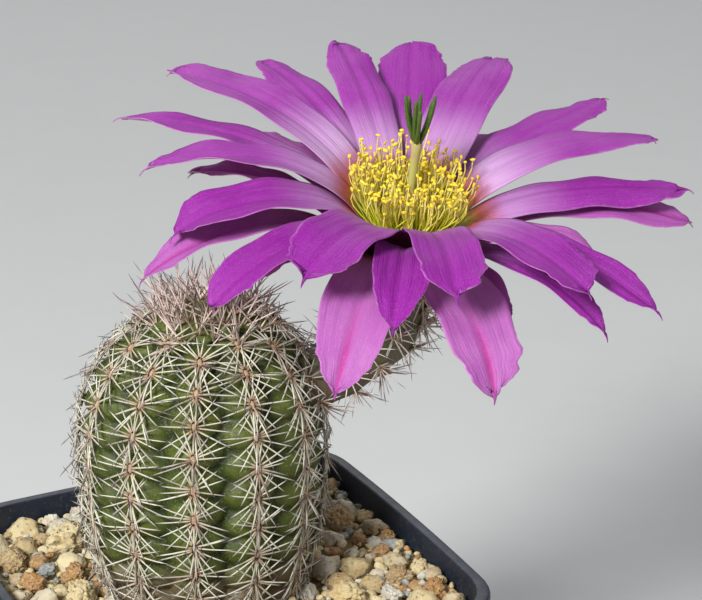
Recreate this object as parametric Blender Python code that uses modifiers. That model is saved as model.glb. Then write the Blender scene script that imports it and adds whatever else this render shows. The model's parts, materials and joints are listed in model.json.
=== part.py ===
"""Hedgehog cactus in flower, potted in a square tapered nursery pot.

The pot stands on its underside, with the origin at the middle of that face and +Z up.
The pot's walls run along X and Y. The plant is turned in it, so its shapes are written
in frames of their own: plant_axes lies in the plane of the rim, and flower_axes lies in
the mouth of the flower with +Z along the flower's axis.
"""

from collections import namedtuple
from math import cos, pi, radians, sin, sqrt

import bmesh
import bpy
from mathutils import Vector, noise
from mathutils.geometry import interpolate_bezier

MM = 0.001
CLEARANCE = 0.3 * MM

# Pot
RIM_SIDE = 70 * MM
RIM_CORNER = 11 * MM
RIM_WIDTH = 2 * MM
RIM_HEIGHT = 4 * MM
RIM_STEP = 0.9 * MM
LIP_EDGE = 0.5 * MM
SIDE_BOW = 0.5 * MM
POT_HEIGHT = 65 * MM
FOOT_SIDE = 52 * MM
FOOT_CORNER = 8 * MM
FOOT_CHAMFER = 0.8 * MM
WALL = 1.2 * MM
FLOOR = 1.6 * MM
DRAIN_RADIUS = 3.5 * MM
DRAIN_OFFSET = 13 * MM
DRAIN_FACETS = 16
CORNER_STEPS = 4
SIDE_STEPS = 4

# Gravel
GRAVEL_DROP = 5.0 * MM
POCKET_GAP = 0.5 * MM
STONE_LUMPS = 0.16
LUMP_SCALE = 2.4

# Plant, in plant_axes
PLANT_TURN = radians(-26)
STEM_OFFSET = -2.0 * MM
STEM_LEAN = 1.6 * MM
LEAN_FROM = 20 * MM
RIBS = 12
RIB_DEPTH = 1.9 * MM
FULL_RIB_RADIUS = 10 * MM
POLE_RADIUS = 0.4 * MM
STEPS_PER_RIB = 4
STEM_RINGS = 22
STEM_PROFILE = (
    (0.0, -14.5),
    (6.5, -14.3),
    (10.6, -12.0),
    (13.4, -6.5),
    (15.6, 0.0),
    (17.3, 8.0),
    (18.0, 16.0),
    (18.0, 23.0),
    (17.0, 29.0),
    (14.6, 34.5),
    (10.8, 39.0),
    (6.4, 42.0),
    (2.6, 43.2),
    (0.0, 42.7),
)
TUBE_PATH = (
    (8.0, 0.0, 27.0, 4.2),
    (14.5, 0.8, 30.0, 4.4),
    (20.6, 2.2, 33.0, 4.7),
    (25.4, 3.8, 36.6, 5.1),
    (27.9, 4.8, 40.6, 5.5),
    (28.5, 4.3, 43.6, 5.7),
)

# Flower, in flower_axes
FLOWER_CENTRE = (30.2 * MM, 0.0, 59.9 * MM)
LEAN_RIGHT = radians(5.7)
LEAN_FRONT = radians(14)
CUP_RADIUS = 5.5 * MM
CUP_FLOOR = -15.5 * MM
CUP_BOTTOM = -19 * MM
CUP_FOOT_RADIUS = 5.7 * MM
LEDGE_RADII = (6.8 * MM, 7.9 * MM, 9.0 * MM)
LEDGE_HEIGHTS = (-5.9 * MM, -7.0 * MM, -8.1 * MM)
TEPAL_SEAT = 0.75 * MM
TEPAL_THICKNESS = 0.6 * MM
TEPAL_BASE_WIDTH = 2.3 * MM
TEPAL_TIP_SHARE = 0.12
WIDEST_SHARE = 0.64
MIDRIB_PULL = 0.36
TEPAL_STEPS = 8
TEPAL_COLUMNS = 4
TURN_STEPS = 32

STYLE_RADIUS = 0.9 * MM
STYLE_TOP = 9.5 * MM
STIGMA_LOBES = 8
LOBE_LENGTH = 9.6 * MM
LOBE_RADIUS = 0.62 * MM
LOBE_TIP = 0.25 * MM
LOBE_SPREAD = radians(17)

Tepal = namedtuple(
    "Tepal",
    "name ledge base_turn tip_turn reach height rise droop width cup roll",
)
# Reach, height, width and cup are in millimetres, the other values in degrees.
# Turns go round the flower from its right side, over the far side. The reach and the
# height are the tip's, out from the flower's axis and up it. Rise and droop are the
# midrib's slopes at its base and its tip. The cup lifts both edges, and the roll lifts
# the edge that lies further round.
TEPALS = (
    Tepal("inner_tepal_1", 0, 0, 8, 42.0, 2.9, 50, -2, 9.0, 1.2, 4),
    Tepal("inner_tepal_2", 0, 30, 22, 40.5, 6.0, 61, -12, 9.6, 0.6, 18),
    Tepal("inner_tepal_3", 0, 69, 69.5, 39.5, 5.9, 64, -10, 10.4, 0.5, 17),
    Tepal("inner_tepal_4", 0, 110, 107, 39.0, 6.0, 60, 0, 8.0, 0.5, 0),
    Tepal("inner_tepal_5", 0, 148, 148, 44.0, 5.7, 62, -12, 9.5, -0.6, -8),
    Tepal("inner_tepal_6", 0, 180, 184, 39.2, 3.8, 66, -24, 8.6, -0.7, -17),
    Tepal("inner_tepal_7", 0, 214, 203, 37.0, 0.4, 66, -34, 10.5, -0.8, -12),
    Tepal("inner_tepal_8", 0, 248, 242, 33.0, 4.5, 64, -22, 10.5, -0.8, 0),
    Tepal("inner_tepal_9", 0, 284, 279, 33.0, 6.0, 64, -18, 9.5, -0.8, 0),
    Tepal("inner_tepal_10", 0, 320, 312, 36.0, 4.4, 54, -12, 9.5, -0.6, 4),
    Tepal("middle_tepal_1", 1, 51, 41, 40.5, 5.8, 55, 10, 9.6, 0.4, 20),
    Tepal("middle_tepal_2", 1, 91, 89, 41.0, 5.3, 54, 8, 11.2, 0.6, 16),
    Tepal("middle_tepal_3", 1, 128, 127, 39.0, 4.7, 60, -6, 8.0, 0.3, -4),
    Tepal("middle_tepal_4", 1, 164, 166.5, 45.0, 4.2, 56, -8, 7.8, -0.3, -17),
    Tepal("middle_tepal_5", 1, 231, 224, 39.0, -3.2, 60, -40, 7.5, -0.8, -6),
    Tepal("middle_tepal_6", 1, 266, 265, 35.5, 1.4, 60, -34, 8.5, -1.0, 0),
    Tepal("middle_tepal_7", 1, 302, 318, 37.5, -3.4, 56, -32, 5.0, -0.3, 0),
    Tepal("middle_tepal_8", 1, 336, 328, 41.2, -1.0, 52, -18, 6.5, -0.4, 0),
    Tepal("outer_tepal_1", 2, 12, 4, 43.5, -1.2, 52, -14, 8.0, 0.4, 0),
    Tepal("outer_tepal_2", 2, 62, 60, 30.0, -2.0, 52, -14, 6.5, 0.4, 0),
    Tepal("outer_tepal_3", 2, 104, 102, 31.0, -1.5, 52, -12, 6.5, 0.4, 0),
    Tepal("outer_tepal_4", 2, 146, 142, 31.0, -2.0, 52, -14, 6.5, 0.4, 0),
    Tepal("outer_tepal_5", 2, 178, 178, 32.8, 1.2, 52, -16, 5.0, -0.4, -4),
    Tepal("outer_tepal_6", 2, 204, 205, 42.0, -5.5, 54, -38, 6.5, -0.6, -6),
    Tepal("outer_tepal_7", 2, 229, 220, 29.5, -3.4, 54, -36, 5.5, -0.4, 0),
    Tepal("outer_tepal_8", 2, 250, 255, 39.0, -8.8, 54, -52, 10.3, -0.8, 0),
    Tepal("outer_tepal_9", 2, 281, 288, 39.0, -7.4, 54, -50, 11.0, -0.8, 0),
    Tepal("outer_tepal_10", 2, 309, 302, 27.0, -4.8, 52, -44, 4.2, -0.3, 0),
    Tepal("outer_tepal_11", 2, 346, 349, 28.8, -3.0, 52, -24, 5.5, -0.4, 4),
)

Stone = namedtuple("Stone", "x y length width height turn")
# Large stones of the top dressing: middle on the gravel, sizes in millimetres,
# turn in degrees.
STONES = (
    Stone(-13.4, 29.6, 3.9, 3.6, 3.6, 20),
    Stone(-17.8, 30.2, 3.2, 2.9, 2.9, 60),
    Stone(-18.4, 20.6, 6.8, 5.8, 5.0, 10),
    Stone(-28.4, 18.0, 5.8, 4.8, 4.4, 75),
    Stone(-24.2, 13.5, 3.6, 3.0, 2.8, 160),
    Stone(-28.0, 9.4, 4.4, 3.8, 3.6, 35),
    Stone(-21.0, 8.8, 5.0, 4.4, 4.2, 120),
    Stone(-15.2, 14.7, 3.8, 3.4, 3.2, 40),
    Stone(-22.8, 1.6, 6.6, 5.4, 4.6, 50),
    Stone(-25.4, -8.8, 5.4, 4.4, 3.6, 15),
    Stone(25.4, 8.0, 6.8, 5.6, 4.8, 95),
    Stone(30.6, 17.8, 2.6, 2.4, 2.4, 0),
    Stone(30.2, 0.0, 3.5, 3.3, 3.1, 40),
    Stone(26.0, 1.2, 3.2, 2.9, 2.7, 130),
    Stone(22.6, -2.8, 3.2, 2.8, 2.8, 80),
    Stone(26.8, -4.4, 3.5, 3.1, 3.0, 25),
    Stone(25.2, -13.8, 4.9, 4.3, 4.0, 60),
    Stone(30.1, -12.4, 3.9, 3.5, 3.4, 110),
    Stone(28.8, -19.4, 4.6, 4.1, 3.7, 20),
    Stone(21.8, -19.2, 4.6, 4.2, 3.7, 75),
    Stone(15.2, -16.2, 6.5, 5.2, 4.4, 150),
    Stone(-8.6, -22.6, 6.0, 4.8, 4.0, 70),
    Stone(2.4, 26.4, 6.2, 4.6, 3.8, 165),
    Stone(14.2, 24.6, 5.0, 4.2, 3.6, 45),
)


def clear_scene():
    for obj in list(bpy.data.objects):
        bpy.data.objects.remove(obj)


def new_collection(name):
    collection = bpy.data.collections.new(name)
    bpy.context.scene.collection.children.link(collection)
    return collection


def new_material(name, colour, roughness):
    material = bpy.data.materials.new(name)
    material.use_nodes = True
    shader = material.node_tree.nodes["Principled BSDF"]
    shader.inputs["Base Color"].default_value = (*colour, 1)
    shader.inputs["Roughness"].default_value = roughness
    shader.inputs["Metallic"].default_value = 0
    return material


def new_empty(name, collection, parent=None):
    empty = bpy.data.objects.new(name, None)
    empty.empty_display_size = 10 * MM
    empty.parent = parent
    collection.objects.link(empty)
    return empty


def new_part(name, mesh, collection, material=None, parent=None):
    part = bpy.data.objects.new(name, mesh)
    part.parent = parent
    collection.objects.link(part)
    if material:
        mesh.materials.append(material)
    mesh.shade_smooth()
    return part


def as_cutter(obj):
    obj.hide_render = True
    obj.display_type = "WIRE"
    return obj


def mesh_from(shape, name):
    """Turns a bmesh into a mesh, with its faces pointing out."""
    bmesh.ops.recalc_face_normals(shape, faces=shape.faces)
    mesh = bpy.data.meshes.new(name)
    shape.to_mesh(mesh)
    shape.free()
    return mesh


def join_or_cut(part, other, operation):
    modifier = part.modifiers.new(operation.title(), "BOOLEAN")
    modifier.operation = operation
    modifier.object = other
    modifier.solver = "EXACT"


def smooth_curve(points, amount):
    """A point at amount, from 0 to 1, on a smooth curve through the points."""
    points = [Vector(point) for point in points]
    along = amount * (len(points) - 1)
    index = min(int(along), len(points) - 2)
    before = points[max(index - 1, 0)]
    start, end = points[index], points[index + 1]
    after = points[min(index + 2, len(points) - 1)]
    t = along - index
    start_slope = (end - before) / 2
    end_slope = (after - start) / 2
    return (
        start * (2 * t**3 - 3 * t**2 + 1)
        + start_slope * (t**3 - 2 * t**2 + t)
        + end * (3 * t**2 - 2 * t**3)
        + end_slope * (t**3 - t**2)
    )


def turned(name, profile, collection, steps=TURN_STEPS):
    """A solid of revolution about Z. The profile runs down its outer side."""
    mesh = bpy.data.meshes.new(name)
    points = [(radius, 0, height) for radius, height in profile]
    edges = [(index, index + 1) for index in range(len(points) - 1)]
    mesh.from_pydata(points, edges, [])
    part = bpy.data.objects.new(name, mesh)
    collection.objects.link(part)
    screw = part.modifiers.new("Turn", "SCREW")
    screw.steps = steps
    screw.render_steps = steps
    screw.use_merge_vertices = True
    screw.merge_threshold = 0.01 * MM
    screw.use_smooth_shade = True
    return part


# Pot and gravel


def square_ring(half_side, corner, height):
    """Points round a square with rounded corners and slightly bowed sides."""
    ring = []
    straight = half_side - corner
    for quarter in range(4):
        turn = quarter * pi / 2
        side = [
            Vector((half_side, straight * (2 * step / SIDE_STEPS - 1)))
            for step in range(SIDE_STEPS)
        ]
        bend = [
            Vector((straight + corner * cos(angle), straight + corner * sin(angle)))
            for angle in (step * pi / 2 / CORNER_STEPS for step in range(CORNER_STEPS))
        ]
        for point in side + bend:
            bow = SIDE_BOW * (1 - (min(abs(point.y), straight) / straight) ** 2)
            x, y = point.x + bow, point.y
            ring.append((x * cos(turn) - y * sin(turn), x * sin(turn) + y * cos(turn), height))
    return ring


def lofted_square(name, sections):
    """A closed solid through square rings, given as half side, corner and height."""
    shape = bmesh.new()
    rings = []
    for section in sections:
        rings.append([shape.verts.new(point) for point in square_ring(*section)])
    for lower, upper in zip(rings, rings[1:]):
        count = len(lower)
        for index in range(count):
            following = (index + 1) % count
            shape.faces.new((lower[index], lower[following], upper[following], upper[index]))
    shape.faces.new(reversed(rings[0]))
    shape.faces.new(rings[-1])
    return mesh_from(shape, name)


def inner_wall(height):
    """Half side and corner radius of the pot's inside at a height."""
    share = height / POT_HEIGHT
    foot = FOOT_SIDE / 2 - WALL
    rim = RIM_SIDE / 2 - RIM_WIDTH
    corner = FOOT_CORNER + (RIM_CORNER - FOOT_CORNER) * share
    return foot + (rim - foot) * share, corner - WALL


def make_pot(parts, cutters):
    foot = FOOT_SIDE / 2
    rim = RIM_SIDE / 2
    under_rim = POT_HEIGHT - RIM_HEIGHT
    sections = (
        (foot - FOOT_CHAMFER, FOOT_CORNER - FOOT_CHAMFER, 0),
        (foot, FOOT_CORNER, FOOT_CHAMFER),
        (rim - RIM_STEP, RIM_CORNER - RIM_STEP, under_rim),
        (rim, RIM_CORNER, under_rim),
        (rim, RIM_CORNER, POT_HEIGHT - LIP_EDGE),
        (rim - LIP_EDGE, RIM_CORNER - LIP_EDGE, POT_HEIGHT),
        (*inner_wall(POT_HEIGHT), POT_HEIGHT),
        (*inner_wall(FLOOR), FLOOR),
    )
    plastic = new_material("pot_plastic", (0.012, 0.016, 0.026), 0.42)
    pot = new_part("pot", lofted_square("pot", sections), parts, plastic)
    for x in (-DRAIN_OFFSET, DRAIN_OFFSET):
        for y in (-DRAIN_OFFSET, DRAIN_OFFSET):
            shape = bmesh.new()
            bmesh.ops.create_cone(
                shape,
                cap_ends=True,
                segments=DRAIN_FACETS,
                radius1=DRAIN_RADIUS,
                radius2=DRAIN_RADIUS,
                depth=4 * FLOOR,
            )
            drain = as_cutter(new_part("drain_cutter", mesh_from(shape, "drain"), cutters))
            drain.location = (x, y, 0)
            join_or_cut(pot, drain, "DIFFERENCE")
    pot.data.set_sharp_from_angle(angle=radians(40))


def make_gravel_bed(parts, cutters, plant_axes):
    low = FLOOR + CLEARANCE
    high = POT_HEIGHT - GRAVEL_DROP
    sections = []
    for height in (low, high):
        half_side, corner = inner_wall(height)
        sections.append((half_side - CLEARANCE, corner - CLEARANCE, height))
    grit = new_material("pumice_bed", (0.55, 0.45, 0.28), 0.95)
    bed = new_part("gravel_bed", lofted_square("gravel_bed", sections), parts, grit)
    mesh = barrel_mesh("stem_pocket", grow=POCKET_GAP, rib_depth=0, around=TURN_STEPS)
    pocket = as_cutter(new_part("pocket_cutter", mesh, cutters, parent=plant_axes))
    join_or_cut(bed, pocket, "DIFFERENCE")
    bed.data.set_sharp_from_angle(angle=radians(40))


def make_stones(parts):
    surface = POT_HEIGHT - GRAVEL_DROP + CLEARANCE
    colours = ((0.62, 0.50, 0.30), (0.70, 0.66, 0.56), (0.50, 0.33, 0.15))
    for number, stone in enumerate(STONES, start=1):
        name = f"stone_{number:02d}"
        shape = bmesh.new()
        bmesh.ops.create_icosphere(shape, subdivisions=2, radius=0.5)
        for vert in shape.verts:
            lump = noise.noise(vert.co * LUMP_SCALE + Vector((7.1 * number, 0, 0)))
            vert.co *= 1 + STONE_LUMPS * lump
            vert.co.x *= stone.length * MM
            vert.co.y *= stone.width * MM
            vert.co.z *= stone.height * MM
        lowest = min(vert.co.z for vert in shape.verts)
        material = new_material(name, colours[number % len(colours)], 0.95)
        part = new_part(name, mesh_from(shape, name), parts, material)
        part.location = (stone.x * MM, stone.y * MM, surface - lowest)
        part.rotation_euler.z = radians(stone.turn)


# Stem and flower tube


def barrel_mesh(name, grow=0.0, rib_depth=RIB_DEPTH, around=RIBS * STEPS_PER_RIB):
    """The ribbed barrel, as a sphere drawn out to the stem's profile."""
    shape = bmesh.new()
    bmesh.ops.create_uvsphere(
        shape, u_segments=around, v_segments=STEM_RINGS, radius=1.0
    )
    top = STEM_PROFILE[-2][1] * MM
    for vert in shape.verts:
        turn = Vector((vert.co.x, vert.co.y, 0))
        share = 1 - vert.co.angle(Vector((0, 0, 1))) / pi
        radius, height = smooth_curve(STEM_PROFILE, share) * MM
        if turn.length < 1e-6:
            vert.co = (0, 0, height)
        else:
            turn.normalize()
            facing = turn.angle(Vector((0, -1, 0)))
            groove = (1 - cos(RIBS * facing)) / 2
            depth = rib_depth * min(1, radius / FULL_RIB_RADIUS)
            vert.co = turn * max(radius + grow - depth * groove, POLE_RADIUS)
            vert.co.z = height + (grow if share > 0.5 else -grow)
        lean = max(0, height - LEAN_FROM) / (top - LEAN_FROM)
        vert.co.x += STEM_OFFSET + STEM_LEAN * lean**2
    return mesh_from(shape, name)


def make_stem(parts, plant_axes):
    skin = new_material("stem_skin", (0.16, 0.26, 0.07), 0.55)
    return new_part("stem", barrel_mesh("stem"), parts, skin, plant_axes)


def make_flower_tube(parts, cutters, plant_axes, flower_axes):
    curve = bpy.data.curves.new("flower_tube", "CURVE")
    curve.dimensions = "3D"
    curve.bevel_depth = 1
    curve.bevel_resolution = 4
    curve.use_fill_caps = True
    spline = curve.splines.new("POLY")
    steps = 3 * (len(TUBE_PATH) - 1)
    spline.points.add(steps)
    for index, point in enumerate(spline.points):
        x, y, z, radius = smooth_curve(TUBE_PATH, index / steps) * MM
        point.co = (x, y, z, 1)
        point.radius = radius
    guide = bpy.data.objects.new("tube_guide", curve)
    guide.parent = plant_axes
    parts.objects.link(guide)
    bpy.context.view_layer.update()
    graph = bpy.context.evaluated_depsgraph_get()
    mesh = bpy.data.meshes.new_from_object(guide.evaluated_get(graph))
    shape = bmesh.new()
    shape.from_mesh(mesh)
    bmesh.ops.remove_doubles(shape, verts=shape.verts, dist=0.01 * MM)
    skin = new_material("tube_skin", (0.20, 0.10, 0.05), 0.7)
    tube = new_part("flower_tube", mesh_from(shape, "flower_tube"), parts, skin)
    tube.matrix_world = guide.matrix_world
    bpy.data.objects.remove(guide)

    profile = [(0, CUP_FLOOR), (CUP_RADIUS, CUP_FLOOR), (CUP_RADIUS, LEDGE_HEIGHTS[0])]
    for ledge, (radius, height) in enumerate(zip(LEDGE_RADII, LEDGE_HEIGHTS)):
        profile.append((radius, height))
        if ledge + 1 < len(LEDGE_HEIGHTS):
            profile.append((radius, LEDGE_HEIGHTS[ledge + 1]))
    profile.append((LEDGE_RADII[-1] - 0.3 * MM, LEDGE_HEIGHTS[-1] - 2 * MM))
    profile += [(CUP_FOOT_RADIUS, CUP_BOTTOM), (0, CUP_BOTTOM)]
    cup = as_cutter(turned("cup_form", profile, cutters))
    cup.parent = flower_axes
    join_or_cut(tube, cup, "UNION")
    mesh = barrel_mesh("stem_clearance", grow=CLEARANCE)
    clearance = as_cutter(new_part("stem_cutter", mesh, cutters, parent=plant_axes))
    join_or_cut(tube, clearance, "DIFFERENCE")


# Flower


def tepal_midrib(tepal):
    """Points of the midrib from the ledge to the tip, in flower_axes."""
    ledge_outer = LEDGE_RADII[tepal.ledge]
    ledge_inner = CUP_RADIUS if tepal.ledge == 0 else LEDGE_RADII[tepal.ledge - 1]
    base_turn, tip_turn = radians(tepal.base_turn), radians(tepal.tip_turn)
    rise, droop = radians(tepal.rise), radians(tepal.droop)
    outward_base = Vector((cos(base_turn), sin(base_turn), 0))
    outward_tip = Vector((cos(tip_turn), sin(tip_turn), 0))
    up = Vector((0, 0, 1))
    base = outward_base * (ledge_inner + ledge_outer) / 2
    base += up * (LEDGE_HEIGHTS[tepal.ledge] + TEPAL_SEAT)
    tip = outward_tip * tepal.reach * MM + up * tepal.height * MM
    pull = MIDRIB_PULL * (tip - base).length
    base_pull = base + (outward_base * cos(rise) + up * sin(rise)) * pull
    tip_pull = tip - (outward_tip * cos(droop) + up * sin(droop)) * pull
    return interpolate_bezier(base, base_pull, tip_pull, tip, TEPAL_STEPS + 1)


def tepal_half_width(share, width):
    """Half the width at a share of the length: a narrow claw, then a broad blade."""
    claw = TEPAL_BASE_WIDTH / 2
    blade = width / 2
    if share < WIDEST_SHARE:
        swell = sin(share / WIDEST_SHARE * pi / 2) ** 1.3
        return claw + (blade - claw) * swell
    past = (share - WIDEST_SHARE) / (1 - WIDEST_SHARE)
    return blade * max(TEPAL_TIP_SHARE, sqrt(1 - past**2.6))


def make_tepal(tepal, parts, flower_axes, material):
    """A tepal as an open sheet about its midrib, given its thickness by Solidify."""
    midrib = tepal_midrib(tepal)
    shape = bmesh.new()
    bmesh.ops.create_grid(
        shape, x_segments=TEPAL_COLUMNS, y_segments=TEPAL_STEPS, size=1
    )
    for vert in shape.verts:
        across = vert.co.x
        share = (vert.co.y + 1) / 2
        index = round(share * TEPAL_STEPS)
        before = midrib[max(index - 1, 0)]
        after = midrib[min(index + 1, TEPAL_STEPS)]
        along = (after - before).normalized()
        outward = Vector((midrib[index].x, midrib[index].y, 0)).normalized()
        side = Vector((-outward.y, outward.x, 0))
        side = (side - along * side.dot(along)).normalized()
        face = along.cross(side) * -1
        roll = radians(tepal.roll) * share
        half = tepal_half_width(share, tepal.width * MM)
        lift = tepal.cup * MM * across**2 * half / (tepal.width * MM / 2)
        sideways = side * cos(roll) + face * sin(roll)
        upward = face * cos(roll) - side * sin(roll)
        vert.co = midrib[index] + sideways * across * half + upward * lift
    mesh = bpy.data.meshes.new(tepal.name)
    shape.to_mesh(mesh)
    shape.free()
    part = new_part(tepal.name, mesh, parts, material, flower_axes)
    solidify = part.modifiers.new("Thickness", "SOLIDIFY")
    solidify.thickness = TEPAL_THICKNESS
    solidify.offset = 0


def make_tepals(parts, flower_axes):
    looks = (
        ("inner", (0.46, 0.05, 0.42), 0.5),
        ("middle", (0.44, 0.06, 0.40), 0.5),
        ("outer", (0.58, 0.22, 0.50), 0.55),
    )
    materials = [
        new_material(f"{whorl}_tepal", colour, roughness)
        for whorl, colour, roughness in looks
    ]
    for tepal in TEPALS:
        make_tepal(tepal, parts, flower_axes, materials[tepal.ledge])


def make_stamens(parts, flower_axes):
    """The brush of stamens as one ring about the style, flared above the cup."""
    bore = STYLE_RADIUS + 2 * CLEARANCE
    outside = CUP_RADIUS - 1.4 * CLEARANCE
    foot = CUP_FLOOR + CLEARANCE
    profile = (
        (bore, 1.5 * MM),
        (4.5 * MM, 3.4 * MM),
        (7.6 * MM, 4.8 * MM),
        (9.6 * MM, 4.4 * MM),
        (9.4 * MM, 3.2 * MM),
        (7.2 * MM, 0.0),
        (outside, LEDGE_HEIGHTS[0] + 0.6 * MM),
        (outside, foot),
        (bore, foot),
        (bore, 1.5 * MM),
    )
    stamens = turned("stamens", profile, parts)
    stamens.parent = flower_axes
    stamens.data.materials.append(new_material("anther_yellow", (0.75, 0.6, 0.08), 0.8))


def make_pistil(parts, cutters, flower_axes):
    """The style, and the stigma's lobes that stand on it as one growth."""
    foot = CUP_FLOOR + CLEARANCE
    profile = (
        (0, STYLE_TOP + 0.9 * MM),
        (0.7 * STYLE_RADIUS, STYLE_TOP + 0.6 * MM),
        (1.15 * STYLE_RADIUS, STYLE_TOP),
        (STYLE_RADIUS, STYLE_TOP - 1.5 * MM),
        (STYLE_RADIUS, foot),
        (0, foot),
    )
    pistil = turned("pistil", profile, parts, steps=16)
    pistil.parent = flower_axes
    pistil.data.materials.append(new_material("stigma_green", (0.10, 0.22, 0.06), 0.6))
    for number in range(STIGMA_LOBES):
        shape = bmesh.new()
        bmesh.ops.create_cone(
            shape,
            cap_ends=True,
            segments=6,
            radius1=LOBE_RADIUS,
            radius2=LOBE_TIP,
            depth=LOBE_LENGTH,
        )
        bmesh.ops.translate(shape, verts=shape.verts, vec=(0, 0, LOBE_LENGTH / 2))
        lobe = as_cutter(new_part("lobe_form", mesh_from(shape, "lobe"), cutters))
        lobe.parent = flower_axes
        turn = number * 2 * pi / STIGMA_LOBES
        ring = 0.5 * STYLE_RADIUS
        lobe.location = (ring * cos(turn), ring * sin(turn), STYLE_TOP - 0.3 * MM)
        lobe.rotation_euler = (0, LOBE_SPREAD, turn)
        join_or_cut(pistil, lobe, "UNION")


def main():
    clear_scene()
    parts = new_collection("hedgehog_cactus")
    cutters = new_collection("cutters")
    plant_axes = new_empty("plant_axes", parts)
    plant_axes.location.z = POT_HEIGHT
    plant_axes.rotation_euler.z = PLANT_TURN
    flower_axes = new_empty("flower_axes", parts, plant_axes)
    flower_axes.location = FLOWER_CENTRE
    flower_axes.rotation_mode = "YXZ"
    flower_axes.rotation_euler = (LEAN_FRONT, LEAN_RIGHT, 0)

    make_pot(parts, cutters)
    make_gravel_bed(parts, cutters, plant_axes)
    make_stones(parts)
    make_stem(parts, plant_axes)
    make_flower_tube(parts, cutters, plant_axes, flower_axes)
    make_tepals(parts, flower_axes)
    make_stamens(parts, flower_axes)
    make_pistil(parts, cutters, flower_axes)


main()
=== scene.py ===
"""A hedgehog cactus in flower in its square nursery pot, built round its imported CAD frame."""

import json
import math
from collections import namedtuple

import bmesh
import bpy
import numpy as np
from bpy.props import FloatProperty, FloatVectorProperty, IntProperty, PointerProperty
from mathutils import Euler, Matrix, Vector, noise

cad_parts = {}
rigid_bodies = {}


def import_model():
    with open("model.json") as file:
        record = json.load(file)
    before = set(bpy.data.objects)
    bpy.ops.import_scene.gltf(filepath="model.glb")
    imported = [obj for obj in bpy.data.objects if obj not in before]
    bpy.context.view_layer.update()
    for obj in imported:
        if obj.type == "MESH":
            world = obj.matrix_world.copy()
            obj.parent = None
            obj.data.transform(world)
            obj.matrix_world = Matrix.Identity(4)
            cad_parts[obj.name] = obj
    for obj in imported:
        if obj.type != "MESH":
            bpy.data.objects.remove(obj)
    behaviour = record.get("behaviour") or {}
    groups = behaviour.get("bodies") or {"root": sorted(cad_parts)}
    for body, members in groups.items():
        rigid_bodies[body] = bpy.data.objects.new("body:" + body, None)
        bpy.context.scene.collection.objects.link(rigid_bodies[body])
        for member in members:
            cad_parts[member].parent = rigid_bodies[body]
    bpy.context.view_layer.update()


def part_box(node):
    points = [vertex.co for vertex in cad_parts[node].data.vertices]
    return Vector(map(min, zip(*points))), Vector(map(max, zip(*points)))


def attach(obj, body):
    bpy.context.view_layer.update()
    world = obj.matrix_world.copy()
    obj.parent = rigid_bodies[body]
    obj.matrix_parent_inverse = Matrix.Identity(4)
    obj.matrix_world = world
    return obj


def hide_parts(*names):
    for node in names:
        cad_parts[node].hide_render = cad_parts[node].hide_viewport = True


bl_info = {
    "name": "Hedgehog cactus in its pot",
    "version": (1, 0, 0),
    "blender": (4, 5, 0),
    "location": "3D View > Sidebar > Cactus",
    "description": "Builds a potted hedgehog cactus in flower round its packed CAD frame",
    "category": "Add Mesh",
}

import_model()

# Sizes, in millimetres and degrees. They repeat those of the CAD model, apart from the pistil's
# and those of the tepals' bases and ends

MM = 0.001
BODY = "root"

POT_HEIGHT = 65.0
RIM_CORNER = 11.0
RIM_HEIGHT = 4.0
RIM_STEP = 0.9
RIM_WIDTH = 2.0
LIP_EDGE = 0.5
SIDE_BOW = 0.5
FOOT_CORNER = 8.0
FOOT_CHAMFER = 0.8
WALL = 1.2
FLOOR = 1.6
DRAIN_RADIUS = 3.5
DRAIN_OFFSET = 13.0
# Turns the cutters, in radians, so that none has a corner on an edge of the pot's floor
DRAIN_TWIST = 0.05
GRAVEL_TOP = 60.0
CLEARANCE = 0.3

PLANT_TURN = -26.0
STEM_OFFSET = -2.0
STEM_LEAN = 1.6
LEAN_FROM = 20.0
LEAN_TO = 43.2
RIBS = 12
RIB_DEPTH = 1.9
FULL_RIB_RADIUS = 10.0
POLE_RADIUS = 0.4
POCKET_GAP = 0.5
# The stem's radius 2 mm below the gravel's surface and at it
POCKET_LOW_RADIUS = 14.1
POCKET_TOP_RADIUS = 14.3
# Radius and height above the rim, from the root end to the crown
STEM_PROFILE = (
    (0, -14.5),
    (6.5, -14.3),
    (10.6, -12),
    (13.4, -6.5),
    (15.6, 0),
    (17.3, 8),
    (18, 16),
    (18, 23),
    (17, 29),
    (14.6, 34.5),
    (10.8, 39),
    (6.4, 42),
    (2.6, 43.2),
    (0, 42.7),
)
# Middle and radius of the flower tube, from the stem to the cup
TUBE_PATH = (
    (8, 0, 27, 4.2),
    (14.5, 0.8, 30, 4.4),
    (20.6, 2.2, 33, 4.7),
    (25.4, 3.8, 36.6, 5.1),
    (27.9, 4.8, 40.6, 5.5),
    (28.5, 4.3, 43.6, 5.7),
)
TUBE_RISE = 20.0
FLOWER_CENTRE = (30.2, 0, 59.9)
LEAN_FRONT = 14.0
LEAN_RIGHT = 5.7
CUP_RADIUS = 5.5
# Height and radius of the cup's outside, from the tube up
CUP_OUTSIDE = ((-16.6, 5.9), (-14.0, 6.5), (-11.6, 7.4), (-9.4, 8.6))
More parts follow.
